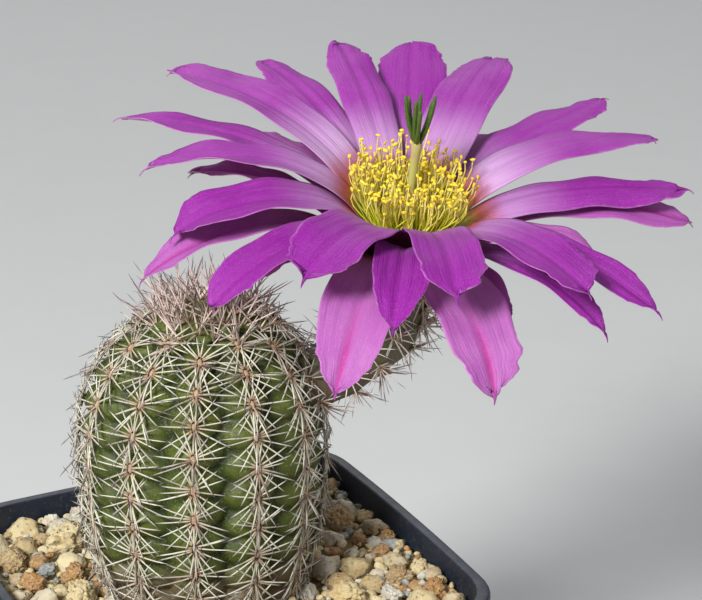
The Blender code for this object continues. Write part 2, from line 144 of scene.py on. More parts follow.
# Radius and height of the cup's inside, from its rim, under the tepals, down to its floor
CUP_INSIDE = (
    (9.0, -8.6),
    (8.9, -7.9),
    (8.4, -7.6),
    (7.9, -6.9),
    (7.3, -6.5),
    (6.8, -5.8),
    (6.2, -5.5),
    (5.7, -5.9),
    (5.5, -7.0),
    (5.45, -12.0),
    (5.0, -15.0),
    (1.0, -15.5),
)
LEDGE_RADII = (6.8, 7.9, 9.0)
LEDGE_HEIGHTS = (-5.9, -7.0, -8.1)
TEPAL_SEAT = 0.75
STYLE_FOOT = -15.2
STYLE_TOP = 10.8
STYLE_RADIUS = 0.66
LOBE_FOOT = 10.1
LOBE_RADIUS = 0.36
STIGMA_LOBES = 8
TEPAL_BASE_WIDTH = 3.6
TEPAL_TIP_SHARE = 0.12
TIP_TAPER = 0.7
WIDEST_SHARE = 0.64
CLAW_FULLNESS = 0.65
ROUND_END_POWER = 2.6
BLUNT_END_POWER = 3.0
MIDRIB_PULL = 0.36
# Each step of a tepal's hooked point: how far past its end, and half its width
HOOK = ((0.35, 0.30), (0.75, 0.19), (1.15, 0.12), (1.5, 0.03))

Tepal = namedtuple(
    "Tepal", "name ledge base_turn tip_turn reach height rise droop width cup roll tip tone"
)
# Turns are about the flower's axis and reach is out from it. tip is 0 for a rounded end, below 0 for
# a pointed one and above 0 for a blunt one. tone is how pale the tepal is, from 0 to 1.
TEPALS = (
    Tepal("inner_tepal_1", 0, 0, 8, 42.0, 2.9, 50, -2, 9.0, 1.2, 4, 0.1, 0.35),
    Tepal("inner_tepal_2", 0, 30, 22, 40.5, 6.0, 61, -12, 9.6, 0.6, 18, 0.7, 0.75),
    Tepal("inner_tepal_3", 0, 69, 69.5, 39.5, 5.9, 64, -10, 10.4, 0.5, 17, 0.6, 0.6),
    Tepal("inner_tepal_4", 0, 110, 107, 39.0, 6.0, 60, 0, 8.0, 0.5, 0, 0.4, 0.6),
    Tepal("inner_tepal_5", 0, 148, 148, 44.0, 5.7, 62, -12, 9.5, -0.6, -8, 0.5, 0.85),
    Tepal("inner_tepal_6", 0, 180, 184, 39.2, 3.8, 66, -24, 8.6, -0.7, -17, 0.5, 0.6),
    Tepal("inner_tepal_7", 0, 214, 203, 37.0, 0.4, 66, -34, 10.5, -0.8, -12, 0.8, 0.4),
    Tepal("inner_tepal_8", 0, 248, 242, 33.0, 4.5, 64, -22, 10.5, -0.8, 0, 0.9, 0.2),
    Tepal("inner_tepal_9", 0, 284, 279, 33.0, 6.0, 64, -18, 9.5, -0.8, 0, 1.0, 0.2),
    Tepal("inner_tepal_10", 0, 320, 312, 36.0, 4.4, 54, -12, 9.5, -0.6, 4, 0.9, 0.3),
    Tepal("middle_tepal_1", 1, 51, 41, 40.5, 5.8, 55, 10, 9.6, 0.4, 20, 0.5, 0.4),
    Tepal("middle_tepal_2", 1, 91, 89, 41.0, 5.3, 54, 8, 11.2, 0.6, 16, 0.8, 0.3),
    Tepal("middle_tepal_3", 1, 128, 127, 39.0, 4.7, 60, -6, 8.0, 0.3, -4, 0.3, 0.9),
    Tepal("middle_tepal_4", 1, 164, 166.5, 45.0, 4.2, 56, -8, 7.8, -0.3, -17, 0.1, 0.6),
    Tepal("middle_tepal_5", 1, 231, 224, 39.0, -3.2, 60, -40, 7.5, -0.8, -6, 0.3, 0.4),
    Tepal("middle_tepal_6", 1, 266, 265, 35.5, 1.4, 60, -34, 8.5, -1.0, 0, -0.6, 0.15),
    Tepal("middle_tepal_7", 1, 302, 318, 37.5, -3.4, 56, -32, 5.0, -0.3, 0, -0.2, 0.3),
    Tepal("middle_tepal_8", 1, 336, 328, 41.2, -1.0, 52, -18, 6.5, -0.4, 0, 0.1, 0.3),
    Tepal("outer_tepal_1", 2, 12, 4, 43.5, -1.2, 52, -14, 8.0, 0.4, 0, 0.1, 0.3),
    Tepal("outer_tepal_2", 2, 62, 60, 30.0, -2.0, 52, -14, 6.5, 0.4, 0, -0.4, 0.5),
    Tepal("outer_tepal_3", 2, 104, 102, 31.0, -1.5, 52, -12, 6.5, 0.4, 0, -0.4, 0.5),
    Tepal("outer_tepal_4", 2, 146, 142, 31.0, -2.0, 52, -14, 6.5, 0.4, 0, -0.4, 0.5),
    Tepal("outer_tepal_5", 2, 178, 178, 32.8, 1.2, 52, -16, 5.0, -0.4, -4, -0.4, 0.8),
    Tepal("outer_tepal_6", 2, 204, 205, 42.0, -5.5, 54, -38, 6.5, -0.6, -6, -0.1, 0.6),
    Tepal("outer_tepal_7", 2, 229, 220, 29.5, -3.4, 54, -36, 5.5, -0.4, 0, -0.3, 0.8),
    Tepal("outer_tepal_8", 2, 250, 255, 39.0, -8.8, 54, -52, 10.3, -0.8, 0, -0.8, 0.9),
    Tepal("outer_tepal_9", 2, 281, 288, 39.0, -7.4, 54, -50, 11.0, -0.8, 0, -0.2, 0.9),
    Tepal("outer_tepal_10", 2, 309, 302, 27.0, -4.8, 52, -44, 4.2, -0.3, 0, -0.3, 0.6),
    Tepal("outer_tepal_11", 2, 346, 349, 28.8, -3.0, 52, -24, 5.5, -0.4, 4, -0.3, 0.6),
)

# Each loose stone's place on the colour scale of the pumice: cream, beige, rust, white, blue grey
STONE_TONES = (
    0.82, 0.80, 0.12, 0.40, 0.96, 0.60, 0.50, 0.10, 0.15, 0.30, 0.42, 0.95,
    0.52, 0.62, 0.78, 0.55, 0.45, 0.14, 0.58, 0.84, 0.22, 0.35, 0.18, 0.74,
)

PLANT_AXES = Matrix.Translation((0, 0, POT_HEIGHT * MM)) @ Matrix.Rotation(
    math.radians(PLANT_TURN), 4, "Z"
)
FLOWER_AXES = (
    PLANT_AXES
    @ Matrix.Translation(Vector(FLOWER_CENTRE) * MM)
    @ Euler((math.radians(LEAN_FRONT), math.radians(LEAN_RIGHT), 0), "YXZ").to_matrix().to_4x4()
)
ROW_AXES = Matrix.Identity(4)


# Settings


def length(name, description, default):
    return FloatProperty(name=name, description=description, default=default, unit="LENGTH")


def colour(name, description, default):
    return FloatVectorProperty(
        name=name, description=description, default=default, subtype="COLOR", size=3
    )


class PotSettings(bpy.types.PropertyGroup):
    rim_side: length("Rim", "Side of the square rim", 0.070)
    foot_side: length("Foot", "Side of the square foot", 0.052)
    plastic_colour: colour("Plastic", "Colour of the pot's plastic", (0.008, 0.012, 0.021))


class GravelSettings(bpy.types.PropertyGroup):
    grain_size: length("Grain size", "Middle size of a grain", 0.0031)
    fine_size: length("Fine size", "Middle size of the fine grit", 0.0015)
    seed: IntProperty(name="Seed", description="Seed of the grains' places", default=11, min=0)


class PlantSettings(bpy.types.PropertyGroup):
    areole_gap: length("Areole gap", "Distance between areoles along a rib", 0.00485)
    spine_length: length("Spine length", "Length of a radial spine at an areole's side", 0.0064)
    spine_width: length("Spine width", "Width of a spine at its base", 0.00027)
    radial_count: IntProperty(
        name="Radial spines", description="Radial spines of one areole", default=17, min=8, max=24
    )
    skin_colour: colour("Skin", "Colour of the ribs' sides", (0.058, 0.078, 0.010))
    seed: IntProperty(name="Seed", description="Seed of the spines' variety", default=5, min=0)


class FlowerSettings(bpy.types.PropertyGroup):
    tepal_thickness: length("Tepal thickness", "Thickness of a tepal at its midrib", 0.00036)
    stamen_count: IntProperty(
        name="Stamens", description="Number of stamens", default=390, min=50, max=800
    )
    tepal_colour: colour("Tepals", "Colour of the inner tepals", (0.24, 0.004, 0.26))
    seed: IntProperty(name="Seed", description="Seed of the flower's variety", default=3, min=0)


class StageSettings(bpy.types.PropertyGroup):
    floor_colour: colour("Floor", "Colour of the floor", (0.60, 0.60, 0.59))
    key_power: FloatProperty(
        name="Key light", description="Power of the main light", default=10.0, unit="POWER"
    )
    fill_power: FloatProperty(
        name="Fill light", description="Power of the fill light", default=1.2, unit="POWER"
    )
    back_power: FloatProperty(
        name="Back light", description="Power of the light behind", default=2.0, unit="POWER"
    )
    sky_strength: FloatProperty(
        name="Sky", description="Strength of the light from all round", default=0.36
    )


# Making meshes


def to_row(points, axes):
    """Points in millimetres on some axes, as metres in the row frame."""
    turn = np.array(axes.to_3x3())
    return (np.asarray(points, float) * MM) @ turn.T + np.array(axes.translation)


def turned_to_row(directions, axes):
    return np.asarray(directions, float) @ np.array(axes.to_3x3()).T


def unit(vectors):
    vectors = np.asarray(vectors, float)
    return vectors / np.maximum(np.linalg.norm(vectors, axis=-1, keepdims=True), 1e-12)


def smooth_step(low, high, values):
    share = np.clip((np.asarray(values, float) - low) / (high - low), 0, 1)
    return share * share * (3 - 2 * share)


def smooth_curve(points, amount):
    """Points at amounts, from 0 to 1, on a smooth curve through the given ones."""
    points = np.asarray(points, float)
    along = np.clip(np.asarray(amount, float), 0, 1) * (len(points) - 1)
    index = np.minimum(along.astype(int), len(points) - 2)
    before = points[np.maximum(index - 1, 0)]
    start, end = points[index], points[index + 1]
    after = points[np.minimum(index + 2, len(points) - 1)]
    t = (along - index)[..., None]
    return (
        start * (2 * t**3 - 3 * t**2 + 1)
        + (end - before) / 2 * (t**3 - 2 * t**2 + t)
        + end * (3 * t**2 - 2 * t**3)
        + (after - start) / 2 * (t**3 - t**2)
    )


def bowed(start, start_pull, end_pull, end, t):
    """Points on a curve that leaves its start and reaches its end along two pulls."""
    low = start * (1 - t) ** 3 + start_pull * 3 * t * (1 - t) ** 2
    return low + end_pull * 3 * t**2 * (1 - t) + end * t**3


def grid_faces(rows, columns, closed):
    """Quads between neighbouring rows of points."""
    spans = columns if closed else columns - 1
    row, column = np.meshgrid(np.arange(rows - 1), np.arange(spans), indexing="ij")
    row, column = row.ravel(), column.ravel()
    following = (column + 1) % columns
    corners = (
        row * columns + column,
        row * columns + following,
        (row + 1) * columns + following,
        (row + 1) * columns + column,
    )
    return np.stack(corners, 1).tolist()


def new_mesh(name, points, faces, edges=()):
    mesh = bpy.data.meshes.new(name)
    mesh.from_pydata(np.asarray(points).tolist(), list(edges), faces)
    mesh.update()
    return mesh


def add_values(mesh, name, values):
    attribute = mesh.attributes.new(name, "FLOAT", "POINT")
    attribute.data.foreach_set("value", np.asarray(values, np.float32).ravel())


def add_vectors(mesh, name, values):
    attribute = mesh.attributes.new(name, "FLOAT_VECTOR", "POINT")
    attribute.data.foreach_set("vector", np.asarray(values, np.float32).ravel())


def add_numbers(mesh, name, values):
    attribute = mesh.attributes.new(name, "INT", "POINT")
    attribute.data.foreach_set("value", np.asarray(values, np.int32).ravel())


def add_uv(mesh, places):
    """A UV map from one place for each vertex."""
    corners = np.zeros(len(mesh.loops), np.int32)
    mesh.loops.foreach_get("vertex_index", corners)
    layer = mesh.uv_layers.new(name="UVMap")
    layer.data.foreach_set("uv", np.asarray(places, np.float32)[corners].ravel())


def face_outwards(mesh):
    shape = bmesh.new()
    shape.from_mesh(mesh)
    bmesh.ops.recalc_face_normals(shape, faces=shape.faces)
    shape.to_mesh(mesh)
    shape.free()
    mesh.shade_smooth()


def shape_mesh(shape, name):
    """A new mesh of a finished shape."""
    mesh = bpy.data.meshes.new(name)
    shape.to_mesh(mesh)
    shape.free()
    return mesh


def new_object(name, data):
    """A new object in the scene."""
    made = bpy.data.objects.new(name, data)
    bpy.context.scene.collection.objects.link(made)
    return made


def show_piece(name, mesh, material, nodes=()):
    """Puts a finished mesh in the scene as a piece of the cactus."""
    if not mesh.polygons:
        raise RuntimeError(f"{name} came out empty")
    piece = new_object(name, mesh)
    if not mesh.materials:
        mesh.materials.append(material)
    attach(piece, BODY)
    if nodes:
        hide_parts(*nodes)


def rings_mesh(name, rings):
    """A closed skin over rings of equally many points, closed by a point at both ends."""
    rings = np.asarray(rings, float)
    rows, columns = rings.shape[:2]
    points = np.vstack([rings.reshape(-1, 3), rings[0].mean(0), rings[-1].mean(0)])
    faces = grid_faces(rows, columns, closed=True)
    first, last = rows * columns, rows * columns + 1
    end = (rows - 1) * columns
    for column in range(columns):
        following = (column + 1) % columns
        faces.append((column, following, first))
        faces.append((end + following, end + column, last))
    return new_mesh(name, points, faces)


# Geometry node trees


def fill_sockets(tree, node, values):
    """Gives a node's sockets their values, each a constant or another socket."""
    for label, value in values.items():
        socket = node.inputs[label.replace("_", " ")]
        if isinstance(value, bpy.types.NodeSocket):
            tree.links.new(value, socket)
        else:
            socket.default_value = value


def add_node(tree, kind, sockets=None, **settings):
    node = tree.nodes.new(kind)
    for name, value in settings.items():
        setattr(node, name, value)
    fill_sockets(tree, node, sockets or {})
    return node


def node_group(name, kind, inputs, outputs):
    """An empty node tree with named sockets, its input node and its output node."""
    tree = bpy.data.node_groups.new(name, kind)
    for label, socket_kind, default in inputs:
        socket = tree.interface.new_socket(label, in_out="INPUT", socket_type=socket_kind)
        if default is not None:
            socket.default_value = default
    for label, socket_kind in outputs:
        tree.interface.new_socket(label, in_out="OUTPUT", socket_type=socket_kind)
    return tree, tree.nodes.new("NodeGroupInput"), tree.nodes.new("NodeGroupOutput")


def new_tree(name, inputs):
    """An empty geometry node tree with its input node and its output node."""
    geometry = ("Geometry", "NodeSocketGeometry")
    tree, given, made = node_group(name, "GeometryNodeTree", ((*geometry, None), *inputs), (geometry,))
    tree.is_modifier = True
    return tree, given, made


def finish_tree(tree, given, made, geometry):
    """Ends a tree as the export needs: smooth, real geometry with its material."""
    real = add_node(tree, "GeometryNodeRealizeInstances", {"Geometry": geometry})
    smooth = add_node(tree, "GeometryNodeSetShadeSmooth", {"Geometry": real.outputs["Geometry"]})
    sockets = {"Geometry": smooth.outputs["Geometry"], "Material": given.outputs["Material"]}
    finished = add_node(tree, "GeometryNodeSetMaterial", sockets)
    tree.links.new(finished.outputs["Geometry"], made.inputs["Geometry"])


def named_values(tree, name, data_type):
    node = add_node(tree, "GeometryNodeInputNamedAttribute", {"Name": name}, data_type=data_type)
    return node.outputs["Attribute"]


def threads_tree():
    """Tapering tubes along polylines, whose points carry their radius: spines, hairs, filaments."""
    if "Threads" in bpy.data.node_groups:
        return bpy.data.node_groups["Threads"]
    tree, given, made = new_tree(
        "Threads",
        (
            ("Sides", "NodeSocketInt", 5),
            ("Thickness", "NodeSocketFloat", 1.0),
            ("Material", "NodeSocketMaterial", None),
        ),
    )
    line = add_node(tree, "GeometryNodeMeshToCurve", {"Mesh": given.outputs["Geometry"]})
    ring = {"Resolution": given.outputs["Sides"], "Radius": 1.0}
    ring = add_node(tree, "GeometryNodeCurvePrimitiveCircle", ring, mode="RADIUS")
    radius = named_values(tree, "radius_here", "FLOAT")
    sockets = {
        "Curve": line.outputs["Curve"],
        "Profile Curve": ring.outputs["Curve"],
        "Scale": worked(tree, "MULTIPLY", radius, given.outputs["Thickness"]),
        "Fill Caps": True,
    }
    tube = add_node(tree, "GeometryNodeCurveToMesh", sockets)
    finish_tree(tree, given, made, tube.outputs["Mesh"])
    return tree


def planted_tree():
    """One of several small shapes at each point, turned and scaled as the point says."""
    if "Planted" in bpy.data.node_groups:
        return bpy.data.node_groups["Planted"]
    tree, given, made = new_tree(
        "Planted",
        (
            ("Shapes", "NodeSocketCollection", None),
            ("Size", "NodeSocketFloat", 1.0),
            ("Material", "NodeSocketMaterial", None),
        ),
    )
    shapes = {"Collection": given.outputs["Shapes"], "Separate Children": True, "Reset Children": True}
    shapes = add_node(tree, "GeometryNodeCollectionInfo", shapes)
    turn = {"Euler": named_values(tree, "turn_here", "FLOAT_VECTOR")}
    turn = add_node(tree, "FunctionNodeEulerToRotation", turn)
    size = {"Vector": named_values(tree, "size_here", "FLOAT_VECTOR"), "Scale": given.outputs["Size"]}
    size = add_node(tree, "ShaderNodeVectorMath", size, operation="SCALE")
    sockets = {
        "Points": given.outputs["Geometry"],
        "Instance": shapes.outputs["Instances"],
        "Pick Instance": True,
        "Instance Index": named_values(tree, "kind_here", "INT"),
        "Rotation": turn.outputs["Rotation"],
        "Scale": size.outputs["Vector"],
    }
    plant = add_node(tree, "GeometryNodeInstanceOnPoints", sockets)
    finish_tree(tree, given, made, plant.outputs["Instances"])
    return tree


def grown_mesh(name, guide_mesh, tree, **inputs):
    """The plain mesh that a tree makes from a guide."""
    guide = new_object(name + "_guide", guide_mesh)
    modifier = guide.modifiers.new("Grow", "NODES")
    modifier.node_group = tree
    for item in tree.interface.items_tree:
        if item.item_type == "SOCKET" and item.in_out == "INPUT" and item.name in inputs:
            modifier[item.identifier] = inputs[item.name]
    graph = bpy.context.evaluated_depsgraph_get()
    mesh = bpy.data.meshes.new_from_object(
        guide.evaluated_get(graph), preserve_all_data_layers=True, depsgraph=graph
    )
    mesh.name = name
    guide.modifiers.remove(modifier)
    bpy.data.objects.remove(guide)
    bpy.data.meshes.remove(guide_mesh)
    return mesh


def threads_guide(name, lines, radii, tones):
    """Polylines as a mesh of edges. lines is (count, points, 3) in metres."""
    lines = np.asarray(lines, float)
    count, steps = lines.shape[:2]
    start = (np.arange(count)[:, None] * steps + np.arange(steps - 1)[None, :]).ravel()
    mesh = new_mesh(name, lines.reshape(-1, 3), [], np.stack([start, start + 1], 1).tolist())
    add_values(mesh, "radius_here", radii)
    add_values(mesh, "along", np.tile(np.linspace(0, 1, steps), count))
    add_values(mesh, "tone", np.repeat(tones, steps))
    return mesh


def planted_guide(name, places, turns, sizes, kinds, tones):
    mesh = new_mesh(name, places, [])
    add_vectors(mesh, "turn_here", turns)
    add_vectors(mesh, "size_here", sizes)
    add_numbers(mesh, "kind_here", kinds)
    add_values(mesh, "tone", tones)
    return mesh


def show_threads(name, lines, radii, tones, sides, material, nodes=()):
    """Grows threads along lines and shows them as one piece."""
    guide = threads_guide(name, lines, radii, tones)
    mesh = grown_mesh(name, guide, threads_tree(), Sides=sides, Material=material)
    show_piece(name, mesh, material, nodes)


def show_planted(name, places, turns, sizes, kinds, tones, shapes, material):
    """Plants small shapes at places and shows them as one piece."""
    guide = planted_guide(name, places, turns, sizes, kinds, tones)
    mesh = grown_mesh(name, guide, planted_tree(), Shapes=shapes, Material=material)
    show_piece(name, mesh, material)


def shape_collection(name, meshes):
    """Small shapes for planting. The collection stays out of the scene."""
    collection = bpy.data.collections.new(name)
    for number, mesh in enumerate(meshes):
        collection.objects.link(bpy.data.objects.new(f"{name}_{number:02d}", mesh))
    return collection


def drop_collection(collection):
    for obj in list(collection.objects):
        bpy.data.objects.remove(obj)
    bpy.data.collections.remove(collection)


def turn_from_axes(across, up, out):
    """Euler turns that carry X, Y and Z onto the given directions."""
    turns = []
    for columns in zip(across, up, out):
        turns.append(Matrix([list(column) for column in columns]).transposed().to_euler())
    return np.array([tuple(turn) for turn in turns])


# Materials


def colour_ramp(tree, stops, source):
    node = tree.nodes.new("ShaderNodeValToRGB")
    ramp = node.color_ramp
    while len(ramp.elements) < len(stops):
        ramp.elements.new(0.5)
    for element, (place, colour) in zip(ramp.elements, stops):
        element.position = place
        element.color = (*colour, 1)
    tree.links.new(source, node.inputs["Fac"])
    return node.outputs["Color"]


def mixed(tree, amount, first, second, blend="MIX"):
    """A colour between two, each a colour or a socket. amount is a number or a socket."""
    node = add_node(tree, "ShaderNodeMix", data_type="RGBA", blend_type=blend)
    for number, value in ((0, amount), (6, first), (7, second)):
        socket = node.inputs[number]
        if isinstance(value, bpy.types.NodeSocket):
            tree.links.new(value, socket)
        elif isinstance(value, (int, float)):
            socket.default_value = value
        else:
            socket.default_value = (*value, 1)
    return node.outputs[2]


def worked(tree, operation, first, second=None, third=None, clamp=False):
    node = add_node(tree, "ShaderNodeMath", operation=operation, use_clamp=clamp)
    for socket, value in zip(node.inputs, (first, second, third)):
        if isinstance(value, bpy.types.NodeSocket):
            tree.links.new(value, socket)
        elif value is not None:
            socket.default_value = value
    return node.outputs["Value"]


def spread(tree, value, low, high, new_low=0.0, new_high=1.0):
    """A value from one range carried smoothly to another."""
    sockets = {"Value": value, "From Min": low, "From Max": high, "To Min": new_low, "To Max": new_high}
    node = add_node(tree, "ShaderNodeMapRange", sockets, interpolation_type="SMOOTHSTEP")
    return node.outputs["Result"]


def point_value(tree, name):
    node = add_node(tree, "ShaderNodeAttribute", attribute_type="GEOMETRY", attribute_name=name)
    return node.outputs["Fac"]


def object_place(tree):
    return tree.nodes.new("ShaderNodeTexCoord").outputs["Object"]


def noise_value(tree, place, scale, detail=3.0, roughness=0.55, distortion=0.0):
    sockets = {"Vector": place, "Scale": scale, "Detail": detail}
    sockets |= {"Roughness": roughness, "Distortion": distortion}
    return add_node(tree, "ShaderNodeTexNoise", sockets).outputs["Fac"]


def new_material(name):
    """A material, its tree and its Principled shader."""
    material = bpy.data.materials.new(name)
    material.use_nodes = True
    return material, material.node_tree, material.node_tree.nodes["Principled BSDF"]


def bumped(tree, shader, height, distance, strength=1.0):
    sockets = {"Height": height, "Distance": distance, "Strength": strength}
    bump = add_node(tree, "ShaderNodeBump", sockets)
    tree.links.new(bump.outputs["Normal"], shader.inputs["Normal"])


def shader_group(name, inputs, outputs):
    return node_group(name, "ShaderNodeTree", inputs, outputs)


def use_group(tree, group, **values):
    node = tree.nodes.new("ShaderNodeGroup")
    node.node_tree = group
    fill_sockets(tree, node, values)
    return node


def painted(tree, shader, colour, **values):
    """Sets a shader's colour and its other sockets."""
    fill_sockets(tree, shader, {"Base_Color": colour, **values})


def flecked(tree, colour, mask, low, high, weight, fleck):
    """A colour with flecks of another, up to a weight, where a mask rises from low to high."""
    return mixed(tree, spread(tree, mask, low, high, 0.0, weight), colour, fleck)


def mottled(tree, place, blotch_scale, speck_scale):
    """The blotches and the specks of the shared mottle at a place."""
    mottle = use_group(
        tree, mottle_group(), Place=place, Blotch_Scale=blotch_scale, Speck_Scale=speck_scale
    )
    return mottle.outputs["Blotch"], mottle.outputs["Speck"]


def mottle_group():
    """Soft blotches and fine specks, for everything that grew or was dug up."""
    if "Mottle" in bpy.data.node_groups:
        return bpy.data.node_groups["Mottle"]
    tree, given, made = shader_group(
        "Mottle",
        (
            ("Place", "NodeSocketVector", None),
            ("Blotch Scale", "NodeSocketFloat", 200.0),
            ("Speck Scale", "NodeSocketFloat", 1500.0),
        ),
        (("Blotch", "NodeSocketFloat"), ("Speck", "NodeSocketFloat")),
    )
    for label, scale in (("Blotch", "Blotch Scale"), ("Speck", "Speck Scale")):
        node = tree.nodes.new("ShaderNodeTexNoise")
        node.inputs["Detail"].default_value = 3
        tree.links.new(given.outputs["Place"], node.inputs["Vector"])
        tree.links.new(given.outputs[scale], node.inputs["Scale"])
        tree.links.new(node.outputs["Fac"], made.inputs[label])
    return tree


def pores_group():
    """The pits and grit of pumice: a mask of the pits and a height for a bump."""
    if "Pores" in bpy.data.node_groups:
        return bpy.data.node_groups["Pores"]
    tree, given, made = shader_group(
        "Pores",
        (("Place", "NodeSocketVector", None), ("Pore Scale", "NodeSocketFloat", 900.0)),
        (("Pits", "NodeSocketFloat"), ("Height", "NodeSocketFloat")),
    )
    cells = tree.nodes.new("ShaderNodeTexVoronoi")
    tree.links.new(given.outputs["Place"], cells.inputs["Vector"])
    tree.links.new(given.outputs["Pore Scale"], cells.inputs["Scale"])
    rough = tree.nodes.new("ShaderNodeTexNoise")
    rough.inputs["Detail"].default_value = 5
    rough.inputs["Scale"].default_value = 700
    tree.links.new(given.outputs["Place"], rough.inputs["Vector"])
    near = spread(tree, cells.outputs["Distance"], 0.12, 0.42, 1.0, 0.0)
    patch = spread(tree, rough.outputs["Fac"], 0.42, 0.6)
    pits = worked(tree, "MULTIPLY", near, patch)
    height = worked(tree, "SUBTRACT", rough.outputs["Fac"], worked(tree, "MULTIPLY", pits, 0.7))
    tree.links.new(pits, made.inputs["Pits"])
    tree.links.new(height, made.inputs["Height"])
    return tree


def pumice_material(name, bump):
    """Weathered pumice whose colour follows each stone's own tone, with painted shade in its pits."""
    material, tree, shader = new_material(name)
    place = object_place(tree)
    tone = point_value(tree, "tone")
    blotch, speck = mottled(tree, place, 420.0, 2600.0)
    shift = worked(tree, "MULTIPLY", worked(tree, "SUBTRACT", blotch, 0.5), 0.3)
    colour = colour_ramp(
        tree,
        (
            (0.0, (0.62, 0.53, 0.32)),
            (0.22, (0.52, 0.41, 0.20)),
            (0.42, (0.30, 0.20, 0.09)),
            (0.60, (0.34, 0.16, 0.045)),
            (0.72, (0.42, 0.34, 0.20)),
            (0.82, (0.60, 0.57, 0.47)),
            (0.93, (0.27, 0.29, 0.28)),
            (1.0, (0.20, 0.23, 0.25)),
        ),
        worked(tree, "ADD", tone, shift, clamp=True),
    )
    pores = use_group(tree, pores_group(), Place=place, Pore_Scale=1100.0)
    rust = spread(tree, blotch, 0.54, 0.70, 0.0, 0.42)
    colour = mixed(tree, rust, colour, (0.40, 0.19, 0.045))
    colour = flecked(tree, colour, speck, 0.4, 0.7, 0.4, (0.62, 0.56, 0.40))
    # Painted shade: the pits are darkened
    colour = mixed(tree, worked(tree, "MULTIPLY", pores.outputs["Pits"], 0.4), colour, (0.13, 0.09, 0.05))
    painted(tree, shader, colour, Roughness=0.92, Specular_IOR_Level=0.25)
    bumped(tree, shader, pores.outputs["Height"], bump * MM, 0.9)
    return material


def pot_material(settings):
    """Dark moulded plastic with dust and handling marks."""
    material, tree, shader = new_material("pot_plastic")
    place = object_place(tree)
    blotch, speck = mottled(tree, place, 60.0, 1700.0)
    streaks = tree.nodes.new("ShaderNodeMapping")
    streaks.inputs["Scale"].default_value = (1, 1, 0.12)
    tree.links.new(place, streaks.inputs["Vector"])
    rubbed = noise_value(tree, streaks.outputs["Vector"], 420, detail=4)
    split = tree.nodes.new("ShaderNodeSeparateXYZ")
    tree.links.new(place, split.inputs["Vector"])
    low = spread(tree, split.outputs["Z"], 0.0, 0.030, 1.0, 0.0)
    base = tuple(settings.plastic_colour)
    colour = mixed(tree, blotch, base, tuple(1.7 * x for x in base))
    dust = spread(tree, speck, 0.56, 0.80)
    dust = worked(tree, "MULTIPLY", dust, worked(tree, "MULTIPLY_ADD", low, 0.5, 0.22))
    colour = mixed(tree, dust, colour, (0.30, 0.27, 0.22))
    scuffs = spread(tree, rubbed, 0.60, 0.74, 0.0, 0.20)
    colour = mixed(tree, scuffs, colour, (0.10, 0.12, 0.16))
    rough = worked(tree, "MULTIPLY_ADD", rubbed, 0.35, 0.24)
    rough = worked(tree, "ADD", rough, worked(tree, "MULTIPLY", dust, 0.4))
    painted(tree, shader, colour, Roughness=rough)
    bumped(tree, shader, speck, 0.02 * MM, 0.5)
    return material


def skin_material(settings):
    """The barrel's skin: green tubercles with a painted highlight on their crowns, grooves darkened with
    painted shade, cork at the foot.
    """
    material, tree, shader = new_material("stem_skin")
    place = object_place(tree)
    groove = point_value(tree, "groove")
    bump = point_value(tree, "bump")
    age = point_value(tree, "age")
    blotch, speck = mottled(tree, place, 240.0, 3600.0)
    green = tuple(settings.skin_colour)
    pale = (green[0] * 1.6, green[1] * 1.45, green[2] * 1.5)
    dark = (green[0] * 0.28, green[1] * 0.36, green[2] * 0.45)
    colour = mixed(tree, spread(tree, blotch, 0.3, 0.75), green, pale)
    # Painted highlight: the tubercles' crowns are lightened
    colour = mixed(tree, worked(tree, "MULTIPLY", bump, 0.5), colour, pale)
    # Painted shade: the grooves and the hollows between tubercles are darkened
    colour = flecked(tree, colour, groove, 0.35, 1.0, 0.85, dark)
    colour = flecked(tree, colour, speck, 0.55, 0.8, 0.55, (0.34, 0.42, 0.20))
    cork = worked(tree, "ADD", age, worked(tree, "MULTIPLY_ADD", blotch, 0.6, -0.3))
    colour = mixed(tree, spread(tree, cork, 0.35, 0.85), colour, (0.17, 0.125, 0.07))
    painted(
        tree,
        shader,
        colour,
        Roughness=0.55,
        Specular_IOR_Level=0.3,
        Subsurface_Weight=0.06,
        Subsurface_Scale=1.0 * MM,
        Subsurface_Radius=(0.5, 1.0, 0.25),
    )
    height = worked(tree, "ADD", speck, worked(tree, "MULTIPLY", blotch, 2.0))
    bumped(tree, shader, height, 0.05 * MM, 0.8)
    return material


def spine_material(name, base, middle, tip, root):
    """A horny spine: its colour runs from the bulb to a dark point."""
    material, tree, shader = new_material(name)
    along = point_value(tree, "along")
    tone = point_value(tree, "tone")
    speck = noise_value(tree, object_place(tree), 2200, detail=2)
    stops = ((0.0, root), (0.12, base), (0.50, middle), (0.66, middle), (0.86, tip))
    pale = colour_ramp(tree, stops, along)
    brown = colour_ramp(
        tree,
        (
            (0.0, (0.26, 0.16, 0.10)),
            (0.3, (0.26, 0.18, 0.14)),
            (0.6, (0.07, 0.04, 0.035)),
            (1.0, (0.02, 0.012, 0.012)),
        ),
        along,
    )
    colour = mixed(tree, tone, pale, brown)
    colour = flecked(tree, colour, speck, 0.45, 0.75, 0.3, (0.40, 0.36, 0.30))
    painted(tree, shader, colour, Roughness=0.42)
    bumped(tree, shader, speck, 0.03 * MM, 0.5)
    return material


def wool_material():
    """Felt of the areoles, orange beige in the middle and grey with age."""
    material, tree, shader = new_material("areole_wool")
    place = object_place(tree)
    tone = point_value(tree, "tone")
    blotch, speck = mottled(tree, place, 900.0, 5200.0)
    colour = mixed(tree, tone, (0.46, 0.31, 0.18), (0.26, 0.22, 0.19))
    colour = flecked(tree, colour, blotch, 0.42, 0.66, 0.7, (0.38, 0.17, 0.06))
    colour = flecked(tree, colour, speck, 0.5, 0.75, 0.5, (0.66, 0.58, 0.46))
    painted(tree, shader, colour, Roughness=0.95, Sheen_Weight=0.4)
    bumped(tree, shader, speck, 0.15 * MM, 1.0)
    return material


